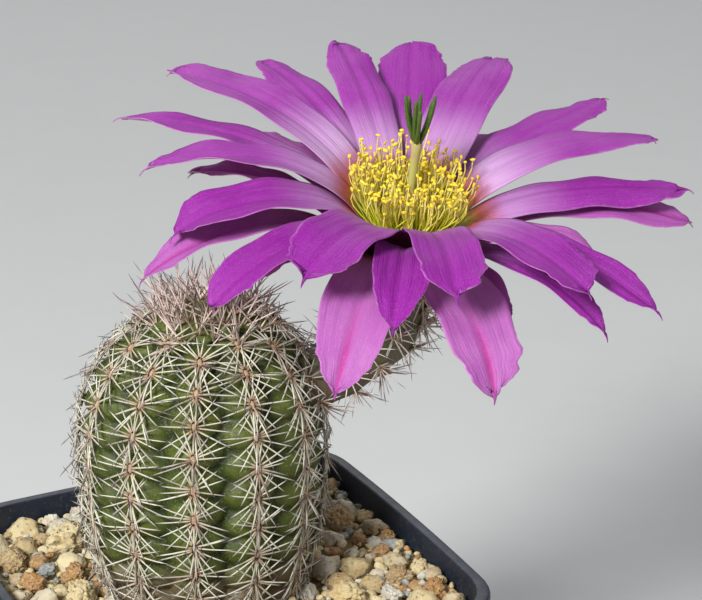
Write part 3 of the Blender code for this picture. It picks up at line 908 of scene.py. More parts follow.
def tube_material():
    """Skin of the flower tube: dull green, flushed red brown."""
    material, tree, shader = new_material("tube_skin")
    place = object_place(tree)
    blotch, speck = mottled(tree, place, 260.0, 2800.0)
    colour = mixed(
        tree, spread(tree, blotch, 0.3, 0.7), (0.045, 0.055, 0.018), (0.085, 0.030, 0.022)
    )
    # Painted highlight: the bumps round the tube's areoles are lightened
    bump = point_value(tree, "bump")
    colour = mixed(tree, worked(tree, "MULTIPLY", bump, 0.5), colour, (0.10, 0.10, 0.035))
    colour = flecked(tree, colour, speck, 0.56, 0.8, 0.5, (0.30, 0.24, 0.14))
    painted(tree, shader, colour, Roughness=0.55)
    bumped(tree, shader, speck, 0.06 * MM, 0.8)
    return material


def scale_material():
    """The tube's small leaves: olive with a brown red point and a pale edge."""
    material, tree, shader = new_material("tube_scale")
    place = object_place(tree)
    along = point_value(tree, "along")
    streak = noise_value(tree, place, 1500, detail=3)
    colour = colour_ramp(
        tree,
        (
            (0.0, (0.10, 0.13, 0.05)),
            (0.45, (0.16, 0.13, 0.06)),
            (0.8, (0.26, 0.10, 0.09)),
            (1.0, (0.13, 0.06, 0.04)),
        ),
        along,
    )
    colour = flecked(tree, colour, streak, 0.45, 0.75, 0.55, (0.36, 0.28, 0.20))
    painted(tree, shader, colour, Roughness=0.5)
    bumped(tree, shader, streak, 0.06 * MM, 0.8)
    return material


def vein_group():
    """Veins along a tepal, its pale margin, its middle stripe and its satin cells."""
    if "Veins" in bpy.data.node_groups:
        return bpy.data.node_groups["Veins"]
    tree, given, made = shader_group(
        "Veins",
        (
            ("Across", "NodeSocketFloat", None),
            ("Along", "NodeSocketFloat", None),
            ("Place", "NodeSocketVector", None),
        ),
        (
            ("Vein", "NodeSocketFloat"),
            ("Margin", "NodeSocketFloat"),
            ("Stripe", "NodeSocketFloat"),
            ("Satin", "NodeSocketFloat"),
        ),
    )
    across, along = given.outputs["Across"], given.outputs["Along"]
    join = tree.nodes.new("ShaderNodeCombineXYZ")
    tree.links.new(worked(tree, "MULTIPLY", across, 26.0), join.inputs["X"])
    tree.links.new(worked(tree, "MULTIPLY", along, 2.6), join.inputs["Y"])
    veins = noise_value(tree, join.outputs["Vector"], 1.0, detail=3, roughness=0.6, distortion=0.25)
    tree.links.new(spread(tree, veins, 0.3, 0.7), made.inputs["Vein"])
    off = worked(tree, "ABSOLUTE", worked(tree, "MULTIPLY_ADD", across, 2.0, -1.0))
    ragged = noise_value(tree, given.outputs["Place"], 900, detail=2)
    edge = worked(tree, "ADD", off, worked(tree, "MULTIPLY_ADD", ragged, 0.16, -0.08))
    tip = spread(tree, along, 0.35, 1.0, 0.25, 1.0)
    tree.links.new(worked(tree, "MULTIPLY", spread(tree, edge, 0.93, 1.04), tip), made.inputs["Margin"])
    middle = worked(tree, "ADD", off, worked(tree, "MULTIPLY_ADD", veins, 0.2, -0.1))
    tree.links.new(spread(tree, middle, 0.0, 0.24, 1.0, 0.0), made.inputs["Stripe"])
    cells = tree.nodes.new("ShaderNodeTexVoronoi")
    cells.inputs["Scale"].default_value = 8500
    tree.links.new(given.outputs["Place"], cells.inputs["Vector"])
    shades = tree.nodes.new("ShaderNodeSeparateColor")
    tree.links.new(cells.outputs["Color"], shades.inputs["Color"])
    tree.links.new(shades.outputs["Red"], made.inputs["Satin"])
    return tree


TepalLook = namedtuple("TepalLook", "deep pale throat stripe stripe_weight under under_stripe")


def tepal_material(name, look):
    """Satin petal flesh, from a green claw through a pale throat to a deep, veined blade, with a painted
    sheen on its satin cells.
    """
    material, tree, shader = new_material(name)
    place = object_place(tree)
    uv = add_node(tree, "ShaderNodeUVMap", uv_map="UVMap")
    split = tree.nodes.new("ShaderNodeSeparateXYZ")
    tree.links.new(uv.outputs["UV"], split.inputs["Vector"])
    across, along = split.outputs["X"], split.outputs["Y"]
    tone = point_value(tree, "tone")
    under = point_value(tree, "under")
    veins = use_group(tree, vein_group(), Across=across, Along=along, Place=place)
    vein, satin = veins.outputs["Vein"], veins.outputs["Satin"]
    blotch = noise_value(tree, place, 160, detail=2)

    paleness = worked(tree, "MULTIPLY", tone, worked(tree, "MULTIPLY_ADD", blotch, 1.1, -0.05))
    colour = mixed(tree, worked(tree, "MULTIPLY", paleness, 0.6), look.deep, look.pale)
    fading = spread(tree, along, 0.26, 0.60, 1.0, 0.0)
    throat = worked(tree, "MULTIPLY", spread(tree, along, 0.12, 0.28), fading)
    throat = worked(tree, "MULTIPLY", throat, worked(tree, "MULTIPLY_ADD", tone, 0.7, 0.15))
    throat = worked(tree, "MULTIPLY", throat, worked(tree, "MULTIPLY_ADD", vein, 0.25, 0.8), clamp=True)
    colour = mixed(tree, throat, colour, look.throat)
    stripe = worked(tree, "MULTIPLY", veins.outputs["Stripe"], spread(tree, along, 0.45, 0.95))
    colour = mixed(tree, worked(tree, "MULTIPLY", stripe, look.stripe_weight), colour, look.stripe)
    colour = mixed(tree, spread(tree, along, 0.14, 0.29, 1.0, 0.0), colour, (0.45, 0.10, 0.05))
    colour = mixed(tree, spread(tree, along, 0.07, 0.17, 1.0, 0.0), colour, (0.38, 0.40, 0.06))
    back = mixed(tree, spread(tree, along, 0.1, 0.7), look.under_stripe, look.under)
    back = mixed(tree, worked(tree, "MULTIPLY", veins.outputs["Stripe"], 0.55), back, look.under_stripe)
    colour = mixed(tree, under, colour, back)
    dark = mixed(tree, 0.08, colour, (0.10, 0.0, 0.10))
    colour = mixed(tree, vein, dark, colour)
    # Painted sheen: the brightest satin cells are lightened toward white lilac
    painted_sheen = worked(tree, "MULTIPLY", spread(tree, satin, 0.72, 1.0), 0.07)
    colour = mixed(tree, painted_sheen, colour, (0.86, 0.66, 0.90))
    margin = worked(tree, "MULTIPLY", veins.outputs["Margin"], 0.28)
    colour = mixed(tree, margin, colour, (0.80, 0.50, 0.76))
    rough = worked(tree, "MULTIPLY_ADD", satin, 0.22, 0.40)
    painted(
        tree,
        shader,
        colour,
        Roughness=rough,
        Specular_IOR_Level=0.25,
        Subsurface_Weight=0.08,
        Subsurface_Scale=0.6 * MM,
        Subsurface_Radius=(1.0, 0.3, 0.9),
    )
    height = worked(tree, "ADD", vein, worked(tree, "MULTIPLY", satin, 0.25))
    bumped(tree, shader, height, 0.09 * MM, 0.7)
    return material


def filament_material():
    """Stamen threads, yellow green low down and clear pale pink above."""
    material, tree, shader = new_material("filament")
    along = point_value(tree, "along")
    speck = noise_value(tree, object_place(tree), 1800, detail=2)
    colour = colour_ramp(
        tree,
        (
            (0.0, (0.48, 0.56, 0.015)),
            (0.5, (0.68, 0.68, 0.04)),
            (0.85, (0.76, 0.66, 0.12)),
            (1.0, (0.78, 0.62, 0.30)),
        ),
        along,
    )
    colour = flecked(tree, colour, speck, 0.4, 0.8, 0.3, (0.80, 0.78, 0.36))
    painted(tree, shader, colour, Roughness=0.4)
    return material


def anther_material():
    """Anthers dusted with pollen."""
    material, tree, shader = new_material("anther")
    place = object_place(tree)
    tone = point_value(tree, "tone")
    _, speck = mottled(tree, place, 1400.0, 7000.0)
    colour = mixed(tree, tone, (0.80, 0.52, 0.01), (0.78, 0.66, 0.04))
    colour = flecked(tree, colour, speck, 0.4, 0.7, 0.6, (0.90, 0.74, 0.10))
    painted(tree, shader, colour, Roughness=0.75)
    bumped(tree, shader, speck, 0.08 * MM, 0.9)
    return material


def pistil_material():
    """A cream style under deep green, velvety stigma lobes."""
    material, tree, shader = new_material("stigma_green")
    place = object_place(tree)
    tone = point_value(tree, "tone")
    blotch, speck = mottled(tree, place, 900.0, 6000.0)
    green = mixed(tree, spread(tree, speck, 0.35, 0.7), (0.03, 0.075, 0.006), (0.11, 0.19, 0.02))
    cream = mixed(tree, spread(tree, blotch, 0.35, 0.7), (0.46, 0.46, 0.13), (0.50, 0.37, 0.17))
    colour = mixed(tree, tone, cream, green)
    painted(tree, shader, colour, Roughness=0.5, Subsurface_Weight=0.1, Subsurface_Scale=0.8 * MM)
    bumped(tree, shader, speck, 0.08 * MM, 0.9)
    return material


# Pot


def square_radius(turns, half_side, corner):
    """Distance from the middle to the side of a rounded square with bowed sides."""
    ring = []
    straight = half_side - corner
    for quarter in range(4):
        around = quarter * math.pi / 2
        side = [(half_side, straight * step) for step in np.linspace(-1, 1, 24, endpoint=False)]
        bend = [
            (straight + corner * math.cos(angle), straight + corner * math.sin(angle))
            for angle in np.linspace(0, math.pi / 2, 20, endpoint=False)
        ]
        for x, y in side + bend:
            bow = SIDE_BOW * (1 - (min(abs(y), straight) / straight) ** 2)
            x += bow
            ring.append(
                (
                    x * math.cos(around) - y * math.sin(around),
                    x * math.sin(around) + y * math.cos(around),
                )
            )
    ring = np.array(ring)
    angles = np.arctan2(ring[:, 1], ring[:, 0])
    order = np.argsort(angles)
    return np.interp(turns, angles[order], np.hypot(*ring.T)[order], period=2 * math.pi)


def pot_turns():
    """Directions round the pot, closer together at its corners."""
    quarter = np.concatenate(
        [
            np.linspace(-45, -34, 5, endpoint=False),
            np.linspace(-34, 34, 12, endpoint=False),
            np.linspace(34, 45, 5, endpoint=False),
        ]
    )
    return np.radians(np.concatenate([quarter + 90 * side for side in range(4)]))


def square_ring(turns, half_side, corner, height):
    radius = square_radius(turns, half_side, corner)
    return np.stack([radius * np.cos(turns), radius * np.sin(turns), np.full(len(turns), height)], 1)


def inner_wall(settings, height):
    """Half side and corner radius of the pot's inside at a height."""
    share = height / POT_HEIGHT
    foot = settings.foot_side / MM / 2 - WALL
    rim = settings.rim_side / MM / 2 - RIM_WIDTH
    corner = FOOT_CORNER + (RIM_CORNER - FOOT_CORNER) * share
    return foot + (rim - foot) * share, corner - WALL


def build_pot(settings):
    foot = settings.foot_side / MM / 2
    rim = settings.rim_side / MM / 2
    under = POT_HEIGHT - RIM_HEIGHT
    sections = [(foot - FOOT_CHAMFER, FOOT_CORNER - FOOT_CHAMFER, 0)]
    for share in np.linspace(0, 1, 5):
        turn = share * math.pi / 2
        inset = FOOT_CHAMFER * (1 - math.sin(turn))
        sections.append((foot - inset, FOOT_CORNER - inset, FOOT_CHAMFER * (1 - math.cos(turn))))
    for share in np.linspace(0.1, 1, 8):
        side = foot + (rim - RIM_STEP - foot) * share
        corner = FOOT_CORNER + (RIM_CORNER - RIM_STEP - FOOT_CORNER) * share
        sections.append((side, corner, FOOT_CHAMFER + (under - 0.5 - FOOT_CHAMFER) * share))
    for inset, rise in ((RIM_STEP, -0.2), (0.5, 0), (0.12, 0.1), (0, 0.4)):
        sections.append((rim - inset, RIM_CORNER - inset, under + rise))
    for share in np.linspace(0, 1, 6):
        turn = share * math.pi / 2
        inset = LIP_EDGE * (1 - math.cos(turn))
        sections.append((rim - inset, RIM_CORNER - inset, POT_HEIGHT - LIP_EDGE * (1 - math.sin(turn))))
    lip_side, lip_corner = inner_wall(settings, POT_HEIGHT)
    for share in np.linspace(0, 1, 5):
        turn = share * math.pi / 2
        inset = 0.4 * (1 - math.sin(turn))
        sections.append((lip_side + inset, lip_corner + inset, POT_HEIGHT - 0.4 * (1 - math.cos(turn))))
    for height in (60, 50, 35, 20, 4):
        sections.append((*inner_wall(settings, height), height))
    side, corner = inner_wall(settings, FLOOR)
    sections += [(side - 0.3, corner - 0.3, FLOOR + 0.3), (side - 1.5, corner - 1.0, FLOOR)]
    turns = pot_turns()
    rings = [square_ring(turns, *section) for section in sections]
    rings.insert(0, rings[0] * (0.5, 0.5, 1))
    rings.append(rings[-1] * (0.5, 0.5, 1))
    mesh = rings_mesh("pot", to_row(rings, ROW_AXES))
    face_outwards(mesh)
    mesh = with_drain_holes(mesh)
    mesh.set_sharp_from_angle(angle=math.radians(50))
    show_piece("pot_shell", mesh, pot_material(settings), ("pot",))


def with_drain_holes(mesh):
    """The pot's mesh with four round holes cut through its floor."""
    pot = new_object("pot_blank", mesh)
    cutters = []
    for x in (-DRAIN_OFFSET, DRAIN_OFFSET):
        for y in (-DRAIN_OFFSET, DRAIN_OFFSET):
            shape = bmesh.new()
            bmesh.ops.create_cone(
                shape,
                cap_ends=True,
                segments=40,
                radius1=DRAIN_RADIUS * MM,
                radius2=DRAIN_RADIUS * MM,
                depth=4 * FLOOR * MM,
            )
            cutter = new_object("drain_cutter", shape_mesh(shape, "drain"))
            cutter.location = (x * MM, y * MM, 0)
            cutter.rotation_euler.z = DRAIN_TWIST
            cutters.append(cutter)
            cut = pot.modifiers.new("Cut", "BOOLEAN")
            cut.operation = "DIFFERENCE"
            cut.solver = "EXACT"
            cut.object = cutter
    graph = bpy.context.evaluated_depsgraph_get()
    made = bpy.data.meshes.new_from_object(pot.evaluated_get(graph))
    for obj in [pot, *cutters]:
        bpy.data.objects.remove(obj)
    made.shade_smooth()
    return made


# Gravel


def stem_middle():
    """The stem's axis where it meets the gravel, in the row frame, in millimetres."""
    place = PLANT_AXES @ Vector((STEM_OFFSET * MM, 0, 0))
    return np.array([place.x, place.y]) / MM


def gravel_height(x, y):
    """The gravel's surface: low at the left and the back, heaped against the right wall."""
    right = smooth_step(14, 32, x)
    wave = noise.noise(Vector((x * 0.11, y * 0.11, 3.0))) * 0.7
    grit = noise.noise(Vector((x * 0.55, y * 0.55, 8.0))) * 0.35
    return GRAVEL_TOP - 0.1 + 0.9 * float(right) + wave + grit


def build_gravel_bed(pot, material):
    middle = stem_middle()
    turns = np.linspace(-math.pi, math.pi, 168, endpoint=False)
    spokes = np.stack([np.cos(turns), np.sin(turns)], 1)
    pocket = []
    for radius, height in STEM_PROFILE[1:4]:
        pocket.append((radius + POCKET_GAP, POT_HEIGHT + height - POCKET_GAP))
    pocket.append((POCKET_LOW_RADIUS + POCKET_GAP, GRAVEL_TOP - 2))
    rings = []
    for radius, height in pocket:
        ring = middle + spokes * radius
        rings.append(np.column_stack([ring, np.full(len(turns), height)]))
    rings.insert(0, np.column_stack([middle + spokes * 0.5, np.full(len(turns), pocket[0][1])]))
    side, corner = inner_wall(pot, GRAVEL_TOP)
    outer = square_ring(turns, side - CLEARANCE, corner - CLEARANCE, 0)[:, :2]
    inner = middle + spokes * (POCKET_TOP_RADIUS + POCKET_GAP)
    for share in np.linspace(0, 1, 46):
        ring = inner + (outer - inner) * share
        heights = [gravel_height(x, y) for x, y in ring]
        rings.append(np.column_stack([ring, heights]))
    for height in (55, 30, 4):
        side, corner = inner_wall(pot, height)
        rings.append(square_ring(turns, side - CLEARANCE, corner - CLEARANCE, height))
    side, corner = inner_wall(pot, FLOOR + CLEARANCE)
    last = square_ring(turns, side - CLEARANCE, corner - CLEARANCE, FLOOR + CLEARANCE)
    rings += [last, last * (0.5, 0.5, 1)]
    mesh = rings_mesh("gravel_base", to_row(rings, ROW_AXES))
    add_values(mesh, "tone", [0.12 + 0.3 * noise.noise(v.co * 300) for v in mesh.vertices])
    face_outwards(mesh)
    show_piece("gravel_base", mesh, material, ("gravel_bed",))


def pebble_mesh(name, seed, subdivisions, facets=9, lumps=0.2):
    """A unit pebble: a ball cut by random flats, then made lumpy."""
    random = np.random.default_rng(seed)
    shape = bmesh.new()
    bmesh.ops.create_icosphere(shape, subdivisions=subdivisions, radius=0.5)
    flats = unit(random.normal(size=(facets, 3)))
    depths = random.uniform(0.28, 0.43, facets)
    offset = Vector(random.uniform(-50, 50, 3))
    for vert in shape.verts:
        place = np.array(vert.co)
        for flat, depth in zip(flats, depths):
            over = place @ flat - depth
            if over > 0:
                place = place - flat * over * 0.85
        place = Vector(place)
        coarse = noise.noise(place * 4.5 + offset)
        middling = noise.noise(place * 10 + offset) * 0.6
        fine = noise.noise(place * 22 + offset) * 0.35
        vert.co = place * (1 + lumps * (coarse + 1.3 * middling + 1.5 * fine))
    return shape_mesh(shape, name)


def stone_boxes():
    """Middle, half length and half width of each loose stone, in millimetres."""
    boxes = []
    for number in range(1, len(STONE_TONES) + 1):
        low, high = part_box(f"stone_{number:02d}")
        middle, half = (low + high) / 2 / MM, (high - low) / 2 / MM
        boxes.append((middle.x, middle.y, half.x, half.y))
    return np.array(boxes)


def scattered_places(pot, random, tries, sizes, spacing, stones, height, stone_gap=0.9):
    """Places for grains that keep off each other, the wall, the stem and the stones."""
    middle = stem_middle()
    side = inner_wall(pot, GRAVEL_TOP)
    half = pot.rim_side / MM / 2
    kept = np.zeros((tries, 3))
    count = 0
    across = random.uniform(-half, half, tries)
    deep = random.uniform(-half, half, tries)
    for x, y, size in zip(across, deep, sizes):
        wall = square_radius(math.atan2(y, x), *side)
        if math.hypot(x, y) > wall - size / 2 - 0.1:
            continue
        if math.hypot(x - middle[0], y - middle[1]) < 15.0 + size * 0.35:
            continue
        off = np.array([x, y]) - stones[:, :2]
        near = np.hypot(*(off / (stones[:, 2:] + size / 2)).T)
        if near.min() < stone_gap:
            continue
        others = kept[:count]
        gaps = np.hypot(others[:, 0] - x, others[:, 1] - y)
        if (gaps < spacing * (others[:, 2] + size) / 2).any():
            continue
        kept[count] = (x, y, size)
        count += 1
    kept = kept[:count]
    heights = np.array([gravel_height(x, y) for x, y in kept[:, :2]]) + height + kept[:, 2] * 0.22
    return np.column_stack([kept[:, :2], heights]), kept[:, 2]


def grain_tones(random, places):
    """A tone for each grain: cream at the left, more rust and grey at the right."""
    count = len(places)
    tone_steps = np.array([0.05, 0.15, 0.22, 0.35, 0.55, 0.74, 0.82, 0.96])
    weights_left = np.array([5, 5, 4, 3, 1.6, 2, 2.4, 1.4])
    weights_right = np.array([2.5, 3, 3, 4.5, 3.4, 2, 2.4, 2.0])
    right = places[:, 0] > 8
    tones = np.where(
        right,
        random.choice(tone_steps, count, p=weights_right / weights_right.sum()),
        random.choice(tone_steps, count, p=weights_left / weights_left.sum()),
    )
    return tones + random.uniform(-0.03, 0.03, count)


def plant_grains(name, places, sizes, shapes, material, random):
    count = len(places)
    ranges = ((0.95, 1.3), (0.8, 1.05), (0.65, 0.95))
    stretch = np.column_stack([random.uniform(low, high, count) for low, high in ranges])
    show_planted(
        name,
        to_row(places, ROW_AXES),
        random.uniform(-0.45, 0.45, (count, 3)) + random.uniform(0, 6.28, (count, 1)) * (0, 0, 1),
        stretch * sizes[:, None] * MM,
        random.integers(0, len(shapes.objects), count),
        grain_tones(random, places),
        shapes,
        material,
    )


def build_gravel(settings, pot):
    material = pumice_material("pumice", 0.35)
    build_gravel_bed(pot, material)
    random = np.random.default_rng(settings.seed)
    stones = stone_boxes()
    coarse = shape_collection(
        "grain_shapes", [pebble_mesh(f"grain_{n}", 40 + n, 3) for n in range(7)]
    )
    fine = shape_collection("fine_shapes", [pebble_mesh(f"fine_{n}", 70 + n, 2) for n in range(5)])
    middle = settings.grain_size / MM
    sizes = np.clip(random.lognormal(math.log(middle), 0.26, 9000), 2.0, 5.4)
    sizes = np.sort(sizes)[::-1]
    places, kept = scattered_places(pot, random, 9000, sizes, 0.88, stones, 0.3)
    plant_grains("gravel_grains", places, kept, coarse, material, random)
    small = settings.fine_size / MM
    sizes = random.uniform(0.7 * small, 1.5 * small, 8000)
    places, kept = scattered_places(pot, random, 8000, sizes, 0.95, stones, 0.95, stone_gap=0.7)
    plant_grains("gravel_fines", places, kept, fine, material, random)
    drop_collection(coarse)
    drop_collection(fine)


def build_stones():
    """Each loose stone over its CAD one, with the same length, width and height."""
    material = pumice_material("pumice_stone", 0.45)
    for number, tone in enumerate(STONE_TONES, start=1):
        node = f"stone_{number:02d}"
        low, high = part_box(node)
        size = high - low
        large = max(size) > 4.3 * MM
        mesh = pebble_mesh(node, 100 + number, 5 if large else 4, facets=11, lumps=0.24)
        co = np.array([v.co for v in mesh.vertices])
        extent = co.max(0) - co.min(0)
        co = (co - co.min(0)) / extent * np.array(size) + np.array(low)
        mesh.vertices.foreach_set("co", co.ravel())
        add_values(mesh, "tone", np.full(len(co), tone))
        mesh.shade_smooth()
        show_piece(f"pumice_stone_{number:02d}", mesh, material, (node,))


# Stem


def stem_line():
    """Distance along the stem's outline from the crown, with the radius and height there."""
    outline = smooth_curve(STEM_PROFILE, np.linspace(1, 0, 3000))
    steps = np.hypot(*np.diff(outline, axis=0).T)
    return np.concatenate([[0], np.cumsum(steps)]), outline[:, 0], outline[:, 1]


STEM_ARC, STEM_RADIUS, STEM_HEIGHT = stem_line()
FIRST_AREOLE = 0.8


def stem_surface(turns, arc, gap):
    """Points on the ribbed skin, with how deep in a groove and how high on a tubercle each is."""
    radius = np.interp(arc, STEM_ARC, STEM_RADIUS)
    height = np.interp(arc, STEM_ARC, STEM_HEIGHT)
    rib_turn = 2 * math.pi / RIBS
    half = np.maximum(rib_turn * radius / 2, 0.1)
    grown = np.minimum(1, radius / FULL_RIB_RADIUS)
    lobes, bumps, grooves = [], [], []
    for rib in (np.floor(turns / rib_turn), np.floor(turns / rib_turn) + 1):
        sideways = np.abs(turns - rib * rib_turn) * radius
        place = (arc - FIRST_AREOLE) / gap - 0.5 * (rib % 2)
        off = (place - np.round(place)) * gap
        # Each rib swells at its own areoles, so the groove beside it winds
        across = sideways / (half * (1 + 0.15 * np.cos(2 * math.pi * place)))
        groove = np.minimum(across, 1.2) ** 2.6
        bump = np.exp(-((off / 1.7) ** 2) - (sideways / 3.4) ** 2) * grown
        between = np.exp(-(((np.abs(off) - gap / 2) / 0.65) ** 2) - (sideways / 4.4) ** 6) * grown
        lobes.append(0.85 * bump - 0.65 * between - RIB_DEPTH * grown * groove)
        bumps.append(bump)
        grooves.append(np.clip(groove * grown + 0.6 * between, 0, 1))
    first = lobes[0] > lobes[1]
    bump = np.where(first, *bumps)
    groove = np.where(first, *grooves)
    reach = radius + np.maximum(*lobes)
    reach = np.maximum(reach, POLE_RADIUS * np.minimum(1, radius / POLE_RADIUS))
    lean = np.maximum(0, height - LEAN_FROM) / (LEAN_TO - LEAN_FROM)
    points = np.stack(
        [reach * np.cos(turns) + STEM_OFFSET + STEM_LEAN * lean**2, reach * np.sin(turns), height], -1
    )
    return points, groove, bump


def stem_normal(turns, arc):
    """The outward direction of the smooth barrel, without its ribs."""
    step = 0.4
    before, after = (
        (np.interp(at, STEM_ARC, STEM_RADIUS), np.interp(at, STEM_ARC, STEM_HEIGHT))
        for at in (arc - step, arc + step)
    )
    rise, run = before[1] - after[1], after[0] - before[0]
    length = np.hypot(rise, run)
    out, up = rise / length, run / length
    normal = np.stack([out * np.cos(turns), out * np.sin(turns), up], -1)
    toward_crown = np.stack([-up * np.cos(turns), -up * np.sin(turns), out], -1)
    return normal, toward_crown


def build_stem(settings):
    gap = settings.areole_gap / MM
    around = 216
    arcs = np.linspace(0.15, STEM_ARC[-1] - 0.4, 178)
    turns = np.linspace(0, 2 * math.pi, around, endpoint=False)
    grid_turns, grid_arcs = np.meshgrid(turns, arcs)
    points, groove, bump = stem_surface(grid_turns, grid_arcs, gap)
    mesh = rings_mesh("stem_body", to_row(points, PLANT_AXES))
    # groove is the mask of the skin's painted shade, bump that of its painted highlight
    for name, values in (("groove", groove), ("bump", bump)):
        add_values(mesh, name, np.append(values.ravel(), [0.0, 0.0]))
    heights = np.append(points[..., 2].ravel(), [43, -14])
    add_values(mesh, "age", smooth_step(14, -4, heights))
    face_outwards(mesh)
    show_piece("stem_body", mesh, skin_material(settings), ("stem",))


def stem_areoles(settings):
    """Each areole's turn about the stem and its distance from the crown along the skin."""
    gap = settings.areole_gap / MM
    lowest = np.interp(-3.6, STEM_HEIGHT[::-1], STEM_ARC[::-1])
    places = []
    for rib in range(RIBS):
        arc = FIRST_AREOLE + gap * (1 + 0.5 * (rib % 2))
        while arc < lowest:
            places.append((rib * 2 * math.pi / RIBS, arc))
            arc += gap
    return np.array(places)


def areole_axes(settings, places):
    """Middle, outward, crownward and sideways directions of each areole, on the plant's axes."""
    gap = settings.areole_gap / MM
    points, _, _ = stem_surface(places[:, 0], places[:, 1], gap)
    normal, up = stem_normal(places[:, 0], places[:, 1])
    return points, normal, up, np.cross(up, normal)


def spine_lines(base, direction, length, bend, steps=5):
    """Bowed spines. bend is how far each tip is pulled aside, in millimetres."""
    share = np.linspace(0, 1, steps)[None, :, None]
    line = base[:, None, :] + direction[:, None, :] * length[:, None, None] * share
    return line + bend[:, None, :] * share**2


def spine_radii(width, steps=5):
    taper = np.array([1.35, 1.0, 0.88, 0.62, 0.10])
    if steps != len(taper):
        taper = np.interp(np.linspace(0, 1, steps), np.linspace(0, 1, len(taper)), taper)
    return np.repeat(width[:, None] / 2, steps, 1) * taper[None, :] * MM


# How often an areole has each central spine, which way it points from the crown, and its length
CENTRAL_SPINES = ((0.7, 180, 4.8), (0.3, 120, 4.2), (0.15, -110, 3.8))
# How much shorter the radial spines are that point to the crown, and to the root
CROWNWARD_SHORTER = 0.36
ROOTWARD_SHORTER = 0.16


def build_spines(settings):
    random = np.random.default_rng(settings.seed)
    places = stem_areoles(settings)
    keep = places[:, 1] > 8.5
    points, normal, up, side = areole_axes(settings, places[keep])
    arc = places[keep, 1]
    width = settings.spine_width / MM
    base, direction, length, bend, tone, widths = [], [], [], [], [], []
    for k in range(settings.radial_count):
        even = (k + 0.5) / settings.radial_count * 2 * math.pi
        turn = even + random.normal(0, 0.10, len(points))
        lift = np.radians(random.normal(10, 5, len(points)))
        radial = up * np.cos(turn)[:, None] + side * np.sin(turn)[:, None]
        aim = radial * np.cos(lift)[:, None] + normal * np.sin(lift)[:, None]
        shorter = CROWNWARD_SHORTER * np.maximum(0, np.cos(turn)) ** 2
        shorter = shorter + ROOTWARD_SHORTER * np.minimum(0, np.cos(turn)) ** 2
        reach = settings.spine_length / MM * (1.0 - shorter)
        reach = reach * random.normal(1, 0.09, len(points))
        rim = up * np.cos(turn)[:, None] + side * np.sin(turn)[:, None] * 0.5
        base.append(points + rim + normal * 0.25)
        direction.append(aim)
        length.append(reach)
        bend.append(-normal * (reach * random.uniform(0.08, 0.17, len(points)))[:, None])
        tone.append(np.clip(random.normal(0.14, 0.28, len(points)), 0, 1))
        widths.append(width * random.uniform(0.85, 1.12, len(points)))
    for chance, way, middle_length in CENTRAL_SPINES:
        some = np.flatnonzero(random.random(len(points)) < chance)
        turn = np.radians(random.normal(way, 24, len(some)))
        lift = np.radians(random.normal(38, 10, len(some)))
        radial = up[some] * np.cos(turn)[:, None] + side[some] * np.sin(turn)[:, None]
        aim = radial * np.cos(lift)[:, None] + normal[some] * np.sin(lift)[:, None]
        reach = random.normal(middle_length, 0.6, len(some))
        base.append(points[some] + radial * 0.25 + normal[some] * 0.2)
        direction.append(aim)
        length.append(reach)
        bend.append(up[some] * (reach * random.uniform(-0.12, 0.05, len(some)))[:, None])
        tone.append(np.clip(random.normal(0.85, 0.2, len(some)), 0, 1))
        widths.append(width * random.uniform(1.0, 1.3, len(some)))
    base, direction, bend = (np.concatenate(part) for part in (base, direction, bend))
    length, tone, widths = (np.concatenate(part) for part in (length, tone, widths))
    lines = to_row(spine_lines(base, direction, length, bend), PLANT_AXES)
    material = spine_material(
        "spine", (0.52, 0.48, 0.35), (0.62, 0.60, 0.50), (0.035, 0.02, 0.02), (0.34, 0.20, 0.10)
    )
    radii = spine_radii(widths)
    show_threads("stem_spines", lines, radii, tone, 5, material)
    build_crown(settings, random)
    build_wool(random, points, normal, up, side, arc)


def build_crown(settings, random):
    """The young, upright spines that cover the stem's top."""
    count = 32
    turn = np.arange(count) * math.radians(137.5)
    arc = 0.9 + 9.4 * np.sqrt((np.arange(count) + 0.5) / count)
    gap = settings.areole_gap / MM
    points, _, _ = stem_surface(turn, arc, gap)
    normal, _ = stem_normal(turn, arc)
    each = 9
    points, normal = np.repeat(points, each, 0), np.repeat(normal, each, 0)
    total = len(points)
    scatter = unit(random.normal(size=(total, 3)))
    scatter = unit(scatter - normal * (scatter * normal).sum(1, keepdims=True))
    lift = np.radians(random.uniform(12, 74, total))
    aim = normal * np.sin(lift)[:, None] + scatter * np.cos(lift)[:, None]
    aim = unit(aim + np.array([-0.10, 0.0, 0.25]))
    length = random.uniform(3.8, 8.4, total)
    bend = unit(random.normal(size=(total, 3))) * (length * 0.09)[:, None]
    tone = np.clip(random.normal(0.12, 0.36, total), 0, 1)
    widths = settings.spine_width / MM * random.uniform(0.85, 1.2, total)
    base = points + scatter * random.uniform(0.1, 0.9, total)[:, None]
    material = spine_material(
        "crown_spine", (0.68, 0.58, 0.48), (0.64, 0.48, 0.43), (0.07, 0.022, 0.025), (0.48, 0.17, 0.05)
    )
    lines = to_row(spine_lines(base, aim, length, bend), PLANT_AXES)
    show_threads("crown_spines", lines, spine_radii(widths), tone, 5, material)


def pad_mesh(name, seed):
    """A unit cushion of felt."""
    shape = bmesh.new()
    bmesh.ops.create_uvsphere(shape, u_segments=9, v_segments=6, radius=0.5)
    offset = Vector((seed * 3.1, 0, 0))
    for vert in shape.verts:
        vert.co *= 1 + 0.35 * noise.noise(vert.co * 6 + offset)
    return shape_mesh(shape, name)


